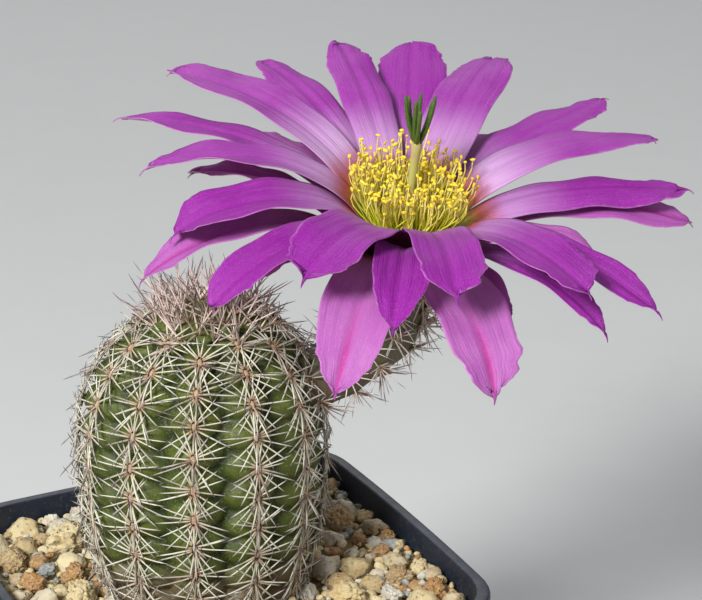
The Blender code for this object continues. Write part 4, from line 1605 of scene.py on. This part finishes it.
def build_wool(random, points, normal, up, side, arc):
    """The felt cushion of each areole, and the loose hairs round it."""
    material = wool_material()
    shapes = shape_collection("pad_shapes", [pad_mesh(f"pad_{n}", n) for n in range(4)])
    count = len(points)
    tone = smooth_step(14, 44, arc) * 0.8 + random.uniform(0, 0.2, count)
    turns = turn_from_axes(
        turned_to_row(side, PLANT_AXES), turned_to_row(up, PLANT_AXES), turned_to_row(normal, PLANT_AXES)
    )
    ranges = ((0.75, 1.0), (1.2, 1.6), (0.5, 0.75))
    sizes = np.column_stack([random.uniform(low, high, count) for low, high in ranges])
    show_planted(
        "areole_pads",
        to_row(points + normal * 0.12, PLANT_AXES),
        turns,
        sizes * MM,
        random.integers(0, 4, count),
        tone,
        shapes,
        material,
    )
    drop_collection(shapes)

    hairs = 14
    picked = np.repeat(np.arange(count), hairs)
    total = len(picked)
    turn = random.uniform(0, 2 * math.pi, total)
    out = random.uniform(0.25, 1.0, total)[:, None]
    radial = up[picked] * np.cos(turn)[:, None] + side[picked] * np.sin(turn)[:, None]
    aim = unit(radial * (1.2 - out) + normal[picked] * out)
    rim = up[picked] * (np.cos(turn) * 0.8)[:, None] + side[picked] * (np.sin(turn) * 0.45)[:, None]
    base = points[picked] + rim
    length = random.uniform(0.8, 1.6, total)
    bend = unit(random.normal(size=(total, 3))) * 0.45
    lines = to_row(spine_lines(base, aim, length, bend, steps=4), PLANT_AXES)
    radii = spine_radii(np.full(total, 0.09), steps=4)
    show_threads("areole_hairs", lines, radii, np.repeat(tone, hairs), 3, material)


# Flower tube


def tube_middles():
    """Middles, radii and axes of the rings from the stem to the cup's rim, on the plant's axes."""
    body = smooth_curve(TUBE_PATH, np.linspace(0.12, 1, 60))
    to_plant = PLANT_AXES.inverted() @ FLOWER_AXES
    points = np.array([to_plant @ Vector((0, 0, height * MM)) for height, _ in CUP_OUTSIDE]) / MM
    cup = np.column_stack([points, [radius for _, radius in CUP_OUTSIDE]])
    path = np.vstack([body[:-8:8], body[-1:], cup])
    fine = smooth_curve(path, np.linspace(0, 1, 90))
    axes = unit(np.gradient(fine[:, :3], axis=0))
    return fine[:, :3], fine[:, 3], axes


def carried_sides(axes, first):
    """A sideways direction for each ring, carried along without twisting."""
    sides = [unit(first - axes[0] * (first @ axes[0]))]
    for axis in axes[1:]:
        last = sides[-1]
        sides.append(unit(last - axis * (last @ axis)))
    return np.array(sides)


def tube_areoles():
    """Place along and turn about the tube of each areole, with its scale's size."""
    places = []
    for row, along in enumerate(np.linspace(0.07, 0.93, 9)):
        count = 6 if along < 0.6 else 7
        for k in range(count):
            places.append((along, (k + 0.5 * (row % 2)) * 2 * math.pi / count, 2.0 + 3.2 * along))
    return np.array(places)


def build_tube(plant, flower):
    random = np.random.default_rng(flower.seed + 20)
    middles, radii, axes = tube_middles()
    sides = carried_sides(axes, np.array([0.0, 0.0, 1.0]))
    others = np.cross(axes, sides)
    spots = tube_areoles()
    spots[:, 1] += random.normal(0, 0.1, len(spots))
    around = 96
    turns = np.linspace(0, 2 * math.pi, around, endpoint=False)
    shares = np.linspace(0, 1, len(middles))
    # The tube's length, from its length seen from above
    length = np.hypot(*np.diff(middles, axis=0).T[:2]).sum() + TUBE_RISE
    bump = np.zeros((len(middles), around))
    for along, turn, _ in spots:
        off = (shares - along)[:, None] * length
        side = np.angle(np.exp(1j * (turns - turn)))[None, :] * radii[:, None]
        bump += np.exp(-((off / 2.2) ** 2) - (side / 2.1) ** 2)
    reach = radii[:, None] + 0.7 * bump - 0.3
    rings = (
        middles[:, None, :]
        + sides[:, None, :] * (reach * np.cos(turns))[..., None]
        + others[:, None, :] * (reach * np.sin(turns))[..., None]
    )
    rings = to_row(rings, PLANT_AXES)
    # The cup's inside starts where the outside's rings do and goes round the same way
    to_flower = (FLOWER_AXES.inverted() @ PLANT_AXES).to_3x3()
    start, other = to_flower @ Vector(sides[-1]), to_flower @ Vector(others[-1])
    shift = math.atan2(start.y, start.x)
    way = 1 if start.x * other.y - start.y * other.x > 0 else -1
    lip = []
    for radius, height in CUP_INSIDE:
        angle = shift + way * turns
        lip.append(np.stack([radius * np.cos(angle), radius * np.sin(angle), np.full(around, height)], 1))
    rings = np.concatenate([rings, to_row(lip, FLOWER_AXES)])
    mesh = rings_mesh("flower_tube_skin", rings)
    # bump also masks the painted highlight of the tube's skin
    values = np.concatenate([bump.ravel(), np.zeros(len(mesh.vertices) - bump.size)])
    add_values(mesh, "bump", np.clip(values, 0, 1))
    face_outwards(mesh)
    show_piece("flower_tube_skin", mesh, tube_material(), ("flower_tube",))

    index = (spots[:, 0] * (len(middles) - 1)).round().astype(int)
    turn = spots[:, 1]
    out = sides[index] * np.cos(turn)[:, None] + others[index] * np.sin(turn)[:, None]
    along = axes[index]
    points = middles[index] + out * (radii[index] + 0.35)[:, None]
    across = np.cross(along, out)
    build_scales(random, points, out, along, across, spots[:, 2])
    build_tube_spines(plant, random, points, out, along, across)


def scale_mesh():
    """A unit scale: a pointed, keeled little leaf along Y, its upper side to +Z."""
    rows, columns = 7, 5
    points, along = [], []
    for row in range(rows):
        share = row / (rows - 1)
        half = 0.24 * (math.sin(math.pi * (0.28 + 0.72 * share)) ** 0.8 if share < 1 else 0.0) + 0.01
        for column in range(columns):
            across = column / (columns - 1) * 2 - 1
            lift = 0.10 * across**2 * half / 0.24 + 0.20 * share**2
            points.append((across * half, share, lift))
            along.append(share)
    count = rows * columns
    below = [(x, y, z - 0.05) for x, y, z in points]
    above = grid_faces(rows, columns, closed=False)
    faces = above + [tuple(count + i for i in reversed(face)) for face in above]
    border = list(range(columns))
    border += [(r + 1) * columns - 1 for r in range(1, rows)]
    border += [rows * columns - 1 - c for c in range(1, columns)]
    border += [r * columns for r in range(rows - 2, 0, -1)]
    for here, there in zip(border, border[1:] + border[:1]):
        faces.append((there, here, count + here, count + there))
    mesh = new_mesh("scale", np.array(points + below), faces)
    add_values(mesh, "along", along + along)
    face_outwards(mesh)
    return mesh


def build_scales(random, points, out, along, across, lengths):
    material = scale_material()
    shapes = shape_collection("scale_shapes", [scale_mesh()])
    count = len(points)
    tilt = np.radians(random.uniform(16, 34, count))[:, None]
    forward = along * np.cos(tilt) + out * np.sin(tilt)
    upper = np.cross(across, forward)
    upper *= np.sign((upper * out).sum(1, keepdims=True))
    right = np.cross(forward, upper)
    turns = turn_from_axes(*(turned_to_row(part, PLANT_AXES) for part in (right, forward, upper)))
    lengths = lengths * random.uniform(0.85, 1.15, count)
    show_planted(
        "tube_scales",
        to_row(points - out * 0.5 - along * 0.4, PLANT_AXES),
        turns,
        np.repeat(lengths[:, None], 3, 1) * MM,
        np.zeros(count),
        random.random(count),
        shapes,
        material,
    )
    drop_collection(shapes)


def build_tube_spines(plant, random, points, out, along, across):
    """A tuft of pale spines above each of the tube's scales."""
    each = 11
    count = len(points) * each
    turn = np.tile(np.arange(each), len(points)) + random.uniform(-0.3, 0.3, count)
    turn = turn / each * 2 * math.pi
    points, out, along, across = (np.repeat(part, each, 0) for part in (points, out, along, across))
    lift = np.radians(random.normal(38, 12, count))[:, None]
    radial = along * np.cos(turn)[:, None] + across * np.sin(turn)[:, None]
    aim = radial * np.cos(lift) + out * np.sin(lift)
    length = random.normal(4.6, 0.7, count)
    bend = unit(random.normal(size=(count, 3))) * (length * 0.06)[:, None]
    tone = np.clip(random.normal(0.3, 0.2, count), 0, 1)
    widths = plant.spine_width / MM * random.uniform(0.75, 1.0, count)
    base = points + radial * 0.3 + along * 0.5
    material = spine_material(
        "tube_spine", (0.62, 0.50, 0.42), (0.72, 0.66, 0.62), (0.09, 0.05, 0.04), (0.50, 0.32, 0.18)
    )
    lines = to_row(spine_lines(base, aim, length, bend), PLANT_AXES)
    show_threads("tube_spines", lines, spine_radii(widths), tone, 5, material)


# Tepals


def tepal_midrib(tepal, share):
    """Points and directions along the midrib, on the flower's axes, in millimetres."""
    outer = LEDGE_RADII[tepal.ledge]
    inner = CUP_RADIUS if tepal.ledge == 0 else LEDGE_RADII[tepal.ledge - 1]
    base_turn, tip_turn = math.radians(tepal.base_turn), math.radians(tepal.tip_turn)
    rise, droop = math.radians(tepal.rise), math.radians(tepal.droop)
    base_out = np.array([math.cos(base_turn), math.sin(base_turn), 0])
    tip_out = np.array([math.cos(tip_turn), math.sin(tip_turn), 0])
    up = np.array([0, 0, 1.0])
    base = base_out * (inner + outer) / 2 + up * (LEDGE_HEIGHTS[tepal.ledge] + TEPAL_SEAT)
    tip = tip_out * tepal.reach + up * tepal.height
    pull = MIDRIB_PULL * np.linalg.norm(tip - base)
    base_pull = base + (base_out * math.cos(rise) + up * math.sin(rise)) * pull
    tip_pull = tip - (tip_out * math.cos(droop) + up * math.sin(droop)) * pull
    t = share[:, None]
    slope = (base_pull - base) * (1 - t) ** 2 + (tip_pull - base_pull) * 2 * t * (1 - t)
    slope = slope + (tip - tip_pull) * t**2
    return bowed(base, base_pull, tip_pull, tip, t), unit(slope)


def tepal_half_width(share, tepal):
    """Half the width along a tepal: a narrow claw, then a broad blade with its own end."""
    claw = TEPAL_BASE_WIDTH / 2
    blade = tepal.width / 2
    swell = np.sin(np.clip(share / WIDEST_SHARE, 0, 1) * math.pi / 2) ** CLAW_FULLNESS
    past = np.clip((share - WIDEST_SHARE) / (1 - WIDEST_SHARE), 0, 1)
    power = ROUND_END_POWER + BLUNT_END_POWER * max(0.0, tepal.tip)
    narrower = 1 + min(0.0, tepal.tip) * 0.35 * past**1.5
    end = np.sqrt(np.maximum(0, 1 - past**power)) * narrower
    low, high = claw + (blade - claw) * swell, blade * np.maximum(TEPAL_TIP_SHARE * TIP_TAPER, end)
    return np.where(share < WIDEST_SHARE, low, high)


def rough_line(random, share, count, strength):
    """An uneven line of values along a share, between minus and plus its strength."""
    knots = random.uniform(-1, 1, count)
    return np.interp(share, np.linspace(0, 1, count), knots) * strength


def tepal_mesh(tepal, number, thickness):
    """A thin, closed, fluted sheet with a ragged margin and a hooked point."""
    random = np.random.default_rng(200 + number)
    share = np.concatenate([np.linspace(0, 0.86, 38, endpoint=False), np.linspace(0.86, 1, 20)])
    columns = 23
    across = np.linspace(-1, 1, columns)
    points, along = tepal_midrib(tepal, share)
    outward = unit(points * (1, 1, 0))
    side = np.stack([-outward[:, 1], outward[:, 0], np.zeros(len(share))], 1)
    side = unit(side - along * (side * along).sum(1, keepdims=True))
    face = -np.cross(along, side)
    roll = np.radians(tepal.roll) * share
    sideways = side * np.cos(roll)[:, None] + face * np.sin(roll)[:, None]
    inward = face * np.cos(roll)[:, None] - side * np.sin(roll)[:, None]
    half = tepal_half_width(share, tepal)
    near_tip = smooth_step(0.72, 0.96, share)
    edges = []
    for _ in range(2):
        slow = rough_line(random, share, 9, 0.04)
        torn = (rough_line(random, share, 36, 0.13) + rough_line(random, share, 80, 0.05)) * near_tip
        edges.append(half * (1 + slow + torn))
    reach = np.where(across[None, :] < 0, edges[0][:, None], edges[1][:, None])
    lift = tepal.cup * across[None, :] ** 2 * half[:, None] / (tepal.width / 2)
    x = across[None, :] * half[:, None]
    crease = 0.30 * np.exp(-((x / 0.85) ** 2)) * smooth_step(0.08, 0.4, share)[:, None]
    waves = random.uniform(1.4, 2.4)
    phase = random.uniform(0, 6.28, 2)
    flutes = 0.0
    for sign, start in ((-1, phase[0]), (1, phase[1])):
        lean = smooth_step(0.15, 1.0, across * sign)[None, :]
        flutes = flutes + lean * 0.55 * np.sin(share[:, None] * waves * 2 * math.pi * 1.6 + start)
    flutes = flutes * smooth_step(0.25, 0.75, share)[:, None]
    ribs = 0.05 * np.cos(x * 2 * math.pi / 1.9) * smooth_step(0.1, 0.4, share)[:, None]
    lift = lift + crease + flutes * 0.6 + ribs
    fringe = rough_line(random, np.linspace(0, 1, columns), 15, 0.9)
    last = (1 - share) < 0.07
    along_shift = np.zeros((len(share), columns))
    along_shift[last] = fringe[None, :] * ((share[last] - 0.93) / 0.07)[:, None] * 0.9
    sheet = (
        points[:, None, :]
        + sideways[:, None, :] * (across[None, :] * reach)[..., None]
        + inward[:, None, :] * lift[..., None]
        + along[:, None, :] * along_shift[..., None]
    )
    tips = []
    for place, width in HOOK:
        middle = sheet[-1, columns // 2] + along[-1] * place + inward[-1] * (0.32 * place**2)
        tips.append(middle + sideways[-1] * (across * width)[:, None])
    sheet = np.concatenate([sheet, tips])
    share = np.concatenate([share, np.ones(len(HOOK))])
    inward = np.concatenate([inward, np.repeat(inward[-1:], len(HOOK), 0)])
    rows = len(share)
    thick = thickness * (1 - 0.62 * np.abs(across[None, :]) ** 2.2) * (1 - 0.45 * share[:, None] ** 3)
    upper = sheet - inward[:, None, :] * thick[..., None] / 2
    lower = sheet + inward[:, None, :] * thick[..., None] / 2
    # The claw reaches down into the cup
    sink = np.concatenate([[0.9, 0.45], np.zeros(rows - 2)])[:, None, None] * along[0]
    upper, lower = upper - sink, lower - sink
    rings = np.concatenate([upper, lower[:, ::-1]], 1)
    count = 2 * columns
    faces = grid_faces(rows, count, closed=True)
    for start in (0, (rows - 1) * count):
        for column in range(columns - 1):
            near, far = start + column, start + count - 1 - column
            faces.append((near, near + 1, far - 1, far))
    mesh = new_mesh(tepal.name, to_row(rings.reshape(-1, 3), FLOWER_AXES), faces)
    u = np.concatenate([(across + 1) / 2, (across[::-1] + 1) / 2])
    places = np.stack([np.tile(u, rows), np.repeat(share, count)], 1)
    add_uv(mesh, places)
    add_values(mesh, "under", np.tile(np.repeat([0.0, 1.0], columns), rows))
    add_values(mesh, "tone", np.full(rows * count, tepal.tone))
    face_outwards(mesh)
    return mesh


def build_tepals(settings):
    deep = tuple(settings.tepal_colour)
    looks = {
        "inner": TepalLook(
            deep=deep,
            pale=(0.48, 0.14, 0.48),
            throat=(0.66, 0.46, 0.70),
            stripe=(0.30, 0.01, 0.30),
            stripe_weight=0.15,
            under=(0.56, 0.20, 0.50),
            under_stripe=(0.36, 0.06, 0.22),
        ),
        "middle": TepalLook(
            deep=deep,
            pale=(0.44, 0.11, 0.44),
            throat=(0.62, 0.40, 0.66),
            stripe=(0.30, 0.01, 0.30),
            stripe_weight=0.2,
            under=(0.58, 0.24, 0.50),
            under_stripe=(0.36, 0.08, 0.20),
        ),
        "outer": TepalLook(
            deep=(0.34, 0.06, 0.34),
            pale=(0.54, 0.25, 0.48),
            throat=(0.60, 0.36, 0.52),
            stripe=(0.42, 0.015, 0.22),
            stripe_weight=0.75,
            under=(0.60, 0.34, 0.46),
            under_stripe=(0.26, 0.14, 0.09),
        ),
    }
    whorls = [(whorl, tepal_material(f"{whorl}_tepal", look)) for whorl, look in looks.items()]
    for number, tepal in enumerate(TEPALS):
        mesh = tepal_mesh(tepal, number, settings.tepal_thickness / MM)
        whorl, material = whorls[tepal.ledge]
        show_piece(f"{tepal.name}_sheet", mesh, material, (tepal.name,))


# Stamens and pistil


def build_stamens(settings):
    random = np.random.default_rng(settings.seed)
    count = settings.stamen_count
    rank = (np.arange(count) + 0.5) / count
    turn = np.arange(count) * math.radians(137.508) + random.normal(0, 0.12, count)
    base_radius = 1.7 + 3.3 * np.sqrt(rank)
    base_height = -14.0 + 7.0 * rank + random.uniform(-0.5, 0.5, count)
    tip_radius = 1.6 + 8.2 * rank**0.8 + random.normal(0, 0.7, count)
    tip_height = 2.6 + 2.2 * rank + random.normal(0, 1.3, count)
    tip_turn = turn + random.normal(0, 0.30, count)

    def at(radius, angle, height):
        return np.stack([radius * np.cos(angle), radius * np.sin(angle), height], 1)

    base = at(base_radius, turn, base_height)
    low_pull = at(base_radius + 0.5, turn, base_height + 6.5)
    tip = at(tip_radius, tip_turn, tip_height)
    curl = random.normal(0.5, 1.3, count)
    high_pull = at(tip_radius + curl, tip_turn, tip_height - 3.2)
    t = np.linspace(0, 1, 8)[None, :, None]
    lines = bowed(base[:, None], low_pull[:, None], high_pull[:, None], tip[:, None], t)
    radii = np.tile(np.linspace(0.15, 0.085, 8) * MM, count)
    lines = to_row(lines, FLOWER_AXES)
    tones = random.random(count)
    material = filament_material()
    show_threads("stamen_filaments", lines, radii, tones, 5, material, ("stamens",))

    shape = bmesh.new()
    bmesh.ops.create_uvsphere(shape, u_segments=8, v_segments=5, radius=0.5)
    for vert in shape.verts:
        waist = 1 - 0.3 * math.exp(-((vert.co.x / 0.12) ** 2))
        vert.co.y *= waist
        vert.co.z *= 1.0 + 0.15 * math.sin(vert.co.x * 9)
    shapes = shape_collection("anther_shapes", [shape_mesh(shape, "anther")])
    ranges = ((0.42, 0.62), (0.42, 0.58), (0.70, 1.05))
    sizes = np.column_stack([random.uniform(low, high, count) for low, high in ranges])
    show_planted(
        "anthers",
        to_row(tip + at(np.zeros(count), tip_turn, np.full(count, 0.12)), FLOWER_AXES),
        random.uniform(-1.3, 1.3, (count, 3)),
        sizes * MM,
        np.zeros(count),
        random.random(count),
        shapes,
        anther_material(),
    )
    drop_collection(shapes)


def build_pistil(settings):
    """The style, and eight stigma lobes that stand on it."""
    random = np.random.default_rng(settings.seed + 7)
    steps = 24
    share = np.linspace(0, 1, steps)
    heights = STYLE_FOOT + (STYLE_TOP - STYLE_FOOT) * share
    style = np.stack([np.zeros(steps), np.zeros(steps), heights], 1)
    style_radius = np.interp(share, [0, 0.85, 0.96, 1.0], [STYLE_RADIUS, STYLE_RADIUS, 0.86, 0.7])
    lines, radii, tones = [style], [style_radius], [0.0]
    for number in range(STIGMA_LOBES):
        turn = (number + random.uniform(-0.2, 0.2)) * 2 * math.pi / STIGMA_LOBES
        spread_angle = math.radians(random.uniform(7, 17))
        length = random.uniform(6.4, 8.4)
        out = np.array([math.cos(turn), math.sin(turn), 0])
        bow = 0.9 * np.sin(share * math.pi * 0.9)
        reach = 0.45 + bow * 0.4 + length * math.sin(spread_angle) * share
        line = out * reach[:, None]
        line[:, 2] = LOBE_FOOT + length * math.cos(spread_angle) * share
        lines.append(line)
        taper = np.interp(share, [0, 0.15, 0.85, 0.96, 1.0], [0.8, 1.0, 0.85, 0.6, 0.2])
        radii.append(LOBE_RADIUS * taper)
        tones.append(1.0)
    material = pistil_material()
    lines, radii = to_row(lines, FLOWER_AXES), np.array(radii) * MM
    show_threads("pistil_body", lines, radii, tones, 12, material, ("pistil",))


# Stage

# Where the lamps point, and the camera's direction, distance and lens, fitted to the pot's rim
LIGHT_AIM = (0.01, 0, 0.09)
CAMERA_TARGET = (25.5, 3.4, 103.6)
CAMERA_AZIMUTH = -26.0
CAMERA_ELEVATION = 20.4
CAMERA_DISTANCE = 350.0
CAMERA_LENS = 112.3


def add_area_light(name, place, power, size):
    light = bpy.data.lights.new(name, "AREA")
    light.energy = power
    light.shape = "DISK"
    light.size = size
    lamp = new_object(name, light)
    lamp.location = place
    lamp.rotation_euler = (Vector(LIGHT_AIM) - Vector(place)).to_track_quat("-Z", "Y").to_euler()


def build_stage(settings):
    shape = bmesh.new()
    bmesh.ops.create_grid(shape, x_segments=8, y_segments=8, size=4.0)
    mesh = shape_mesh(shape, "floor")
    floor = new_object("floor", mesh)
    material, tree, shader = new_material("floor_paper")
    grain = noise_value(tree, object_place(tree), 60, detail=2)
    base = tuple(settings.floor_colour)
    colour = mixed(tree, grain, base, tuple(x * 1.04 for x in base))
    painted(tree, shader, colour, Roughness=0.9)
    mesh.materials.append(material)

    world = bpy.data.worlds.new("studio")
    world.use_nodes = True
    background = world.node_tree.nodes["Background"]
    background.inputs["Color"].default_value = (0.92, 0.95, 1.0, 1)
    background.inputs["Strength"].default_value = settings.sky_strength
    bpy.context.scene.world = world

    add_area_light("key_light", (-0.54, -0.40, 0.60), settings.key_power, 0.22)
    add_area_light("fill_light", (0.75, -0.55, 0.40), settings.fill_power, 0.60)
    add_area_light("back_light", (0.25, 0.85, 0.75), settings.back_power, 0.80)
    bpy.context.scene.view_settings.view_transform = "Standard"
    add_camera()


def add_camera():
    """The photograph's view."""
    azimuth, elevation = math.radians(CAMERA_AZIMUTH), math.radians(CAMERA_ELEVATION)
    level = math.cos(elevation)
    back = Vector((math.sin(azimuth) * level, -math.cos(azimuth) * level, math.sin(elevation)))
    data = bpy.data.cameras.new("camera")
    data.lens = CAMERA_LENS
    data.sensor_width = 36
    data.clip_start = 0.01
    camera = new_object("camera", data)
    camera.location = Vector(CAMERA_TARGET) * MM + back * (CAMERA_DISTANCE * MM)
    camera.rotation_euler = (-back).to_track_quat("-Z", "Y").to_euler()
    bpy.context.scene.camera = camera


# Operators


class CACTUS_OT_pot(bpy.types.Operator):
    """Build the square nursery pot"""

    bl_idname = "cactus.pot"
    bl_label = "Build pot"

    def execute(self, context):
        build_pot(context.scene.cactus_pot)
        return {"FINISHED"}


class CACTUS_OT_gravel(bpy.types.Operator):
    """Build the bed of pumice grit and its grains"""

    bl_idname = "cactus.gravel"
    bl_label = "Build gravel"

    def execute(self, context):
        build_gravel(context.scene.cactus_gravel, context.scene.cactus_pot)
        return {"FINISHED"}


class CACTUS_OT_stones(bpy.types.Operator):
    """Build the loose stones on the gravel"""

    bl_idname = "cactus.stones"
    bl_label = "Build stones"

    def execute(self, context):
        build_stones()
        return {"FINISHED"}


class CACTUS_OT_stem(bpy.types.Operator):
    """Build the ribbed stem"""

    bl_idname = "cactus.stem"
    bl_label = "Build stem"

    def execute(self, context):
        build_stem(context.scene.cactus_plant)
        return {"FINISHED"}


class CACTUS_OT_spines(bpy.types.Operator):
    """Build the areoles with their wool and spines"""

    bl_idname = "cactus.spines"
    bl_label = "Build spines"

    def execute(self, context):
        build_spines(context.scene.cactus_plant)
        return {"FINISHED"}


class CACTUS_OT_tube(bpy.types.Operator):
    """Build the flower tube with its scales and spines"""

    bl_idname = "cactus.tube"
    bl_label = "Build flower tube"

    def execute(self, context):
        build_tube(context.scene.cactus_plant, context.scene.cactus_flower)
        return {"FINISHED"}


class CACTUS_OT_tepals(bpy.types.Operator):
    """Build all the tepals"""

    bl_idname = "cactus.tepals"
    bl_label = "Build tepals"

    def execute(self, context):
        build_tepals(context.scene.cactus_flower)
        return {"FINISHED"}


class CACTUS_OT_throat(bpy.types.Operator):
    """Build the stamens and the pistil"""

    bl_idname = "cactus.throat"
    bl_label = "Build stamens and pistil"

    def execute(self, context):
        build_stamens(context.scene.cactus_flower)
        build_pistil(context.scene.cactus_flower)
        return {"FINISHED"}


class CACTUS_OT_stage(bpy.types.Operator):
    """Build the floor, the lights and the camera"""

    bl_idname = "cactus.stage"
    bl_label = "Build stage"

    def execute(self, context):
        build_stage(context.scene.cactus_stage)
        return {"FINISHED"}


OPERATORS = (
    CACTUS_OT_pot,
    CACTUS_OT_gravel,
    CACTUS_OT_stones,
    CACTUS_OT_stem,
    CACTUS_OT_spines,
    CACTUS_OT_tube,
    CACTUS_OT_tepals,
    CACTUS_OT_throat,
    CACTUS_OT_stage,
)
SETTINGS = {
    "cactus_pot": PotSettings,
    "cactus_gravel": GravelSettings,
    "cactus_plant": PlantSettings,
    "cactus_flower": FlowerSettings,
    "cactus_stage": StageSettings,
}


class CACTUS_PT_panel(bpy.types.Panel):
    """Lists the cactus's builders with their settings"""

    bl_label = "Hedgehog cactus"
    bl_idname = "CACTUS_PT_panel"
    bl_space_type = "VIEW_3D"
    bl_region_type = "UI"
    bl_category = "Cactus"

    def draw(self, context):
        layout = self.layout
        for operator in OPERATORS:
            layout.operator(operator.bl_idname)
        for name, group in SETTINGS.items():
            settings = getattr(context.scene, name)
            box = layout.box()
            for label in group.__annotations__:
                box.prop(settings, label)


def register():
    for group in SETTINGS.values():
        bpy.utils.register_class(group)
    for operator in OPERATORS:
        bpy.utils.register_class(operator)
    bpy.utils.register_class(CACTUS_PT_panel)
    for name, group in SETTINGS.items():
        setattr(bpy.types.Scene, name, PointerProperty(type=group))


def unregister():
    for name in SETTINGS:
        delattr(bpy.types.Scene, name)
    bpy.utils.unregister_class(CACTUS_PT_panel)
    for operator in reversed(OPERATORS):
        bpy.utils.unregister_class(operator)
    for group in reversed(list(SETTINGS.values())):
        bpy.utils.unregister_class(group)


def main():
    register()
    for operator in OPERATORS:
        family, action = operator.bl_idname.split(".")
        getattr(getattr(bpy.ops, family), action)()


if __name__ == "__main__":
    main()
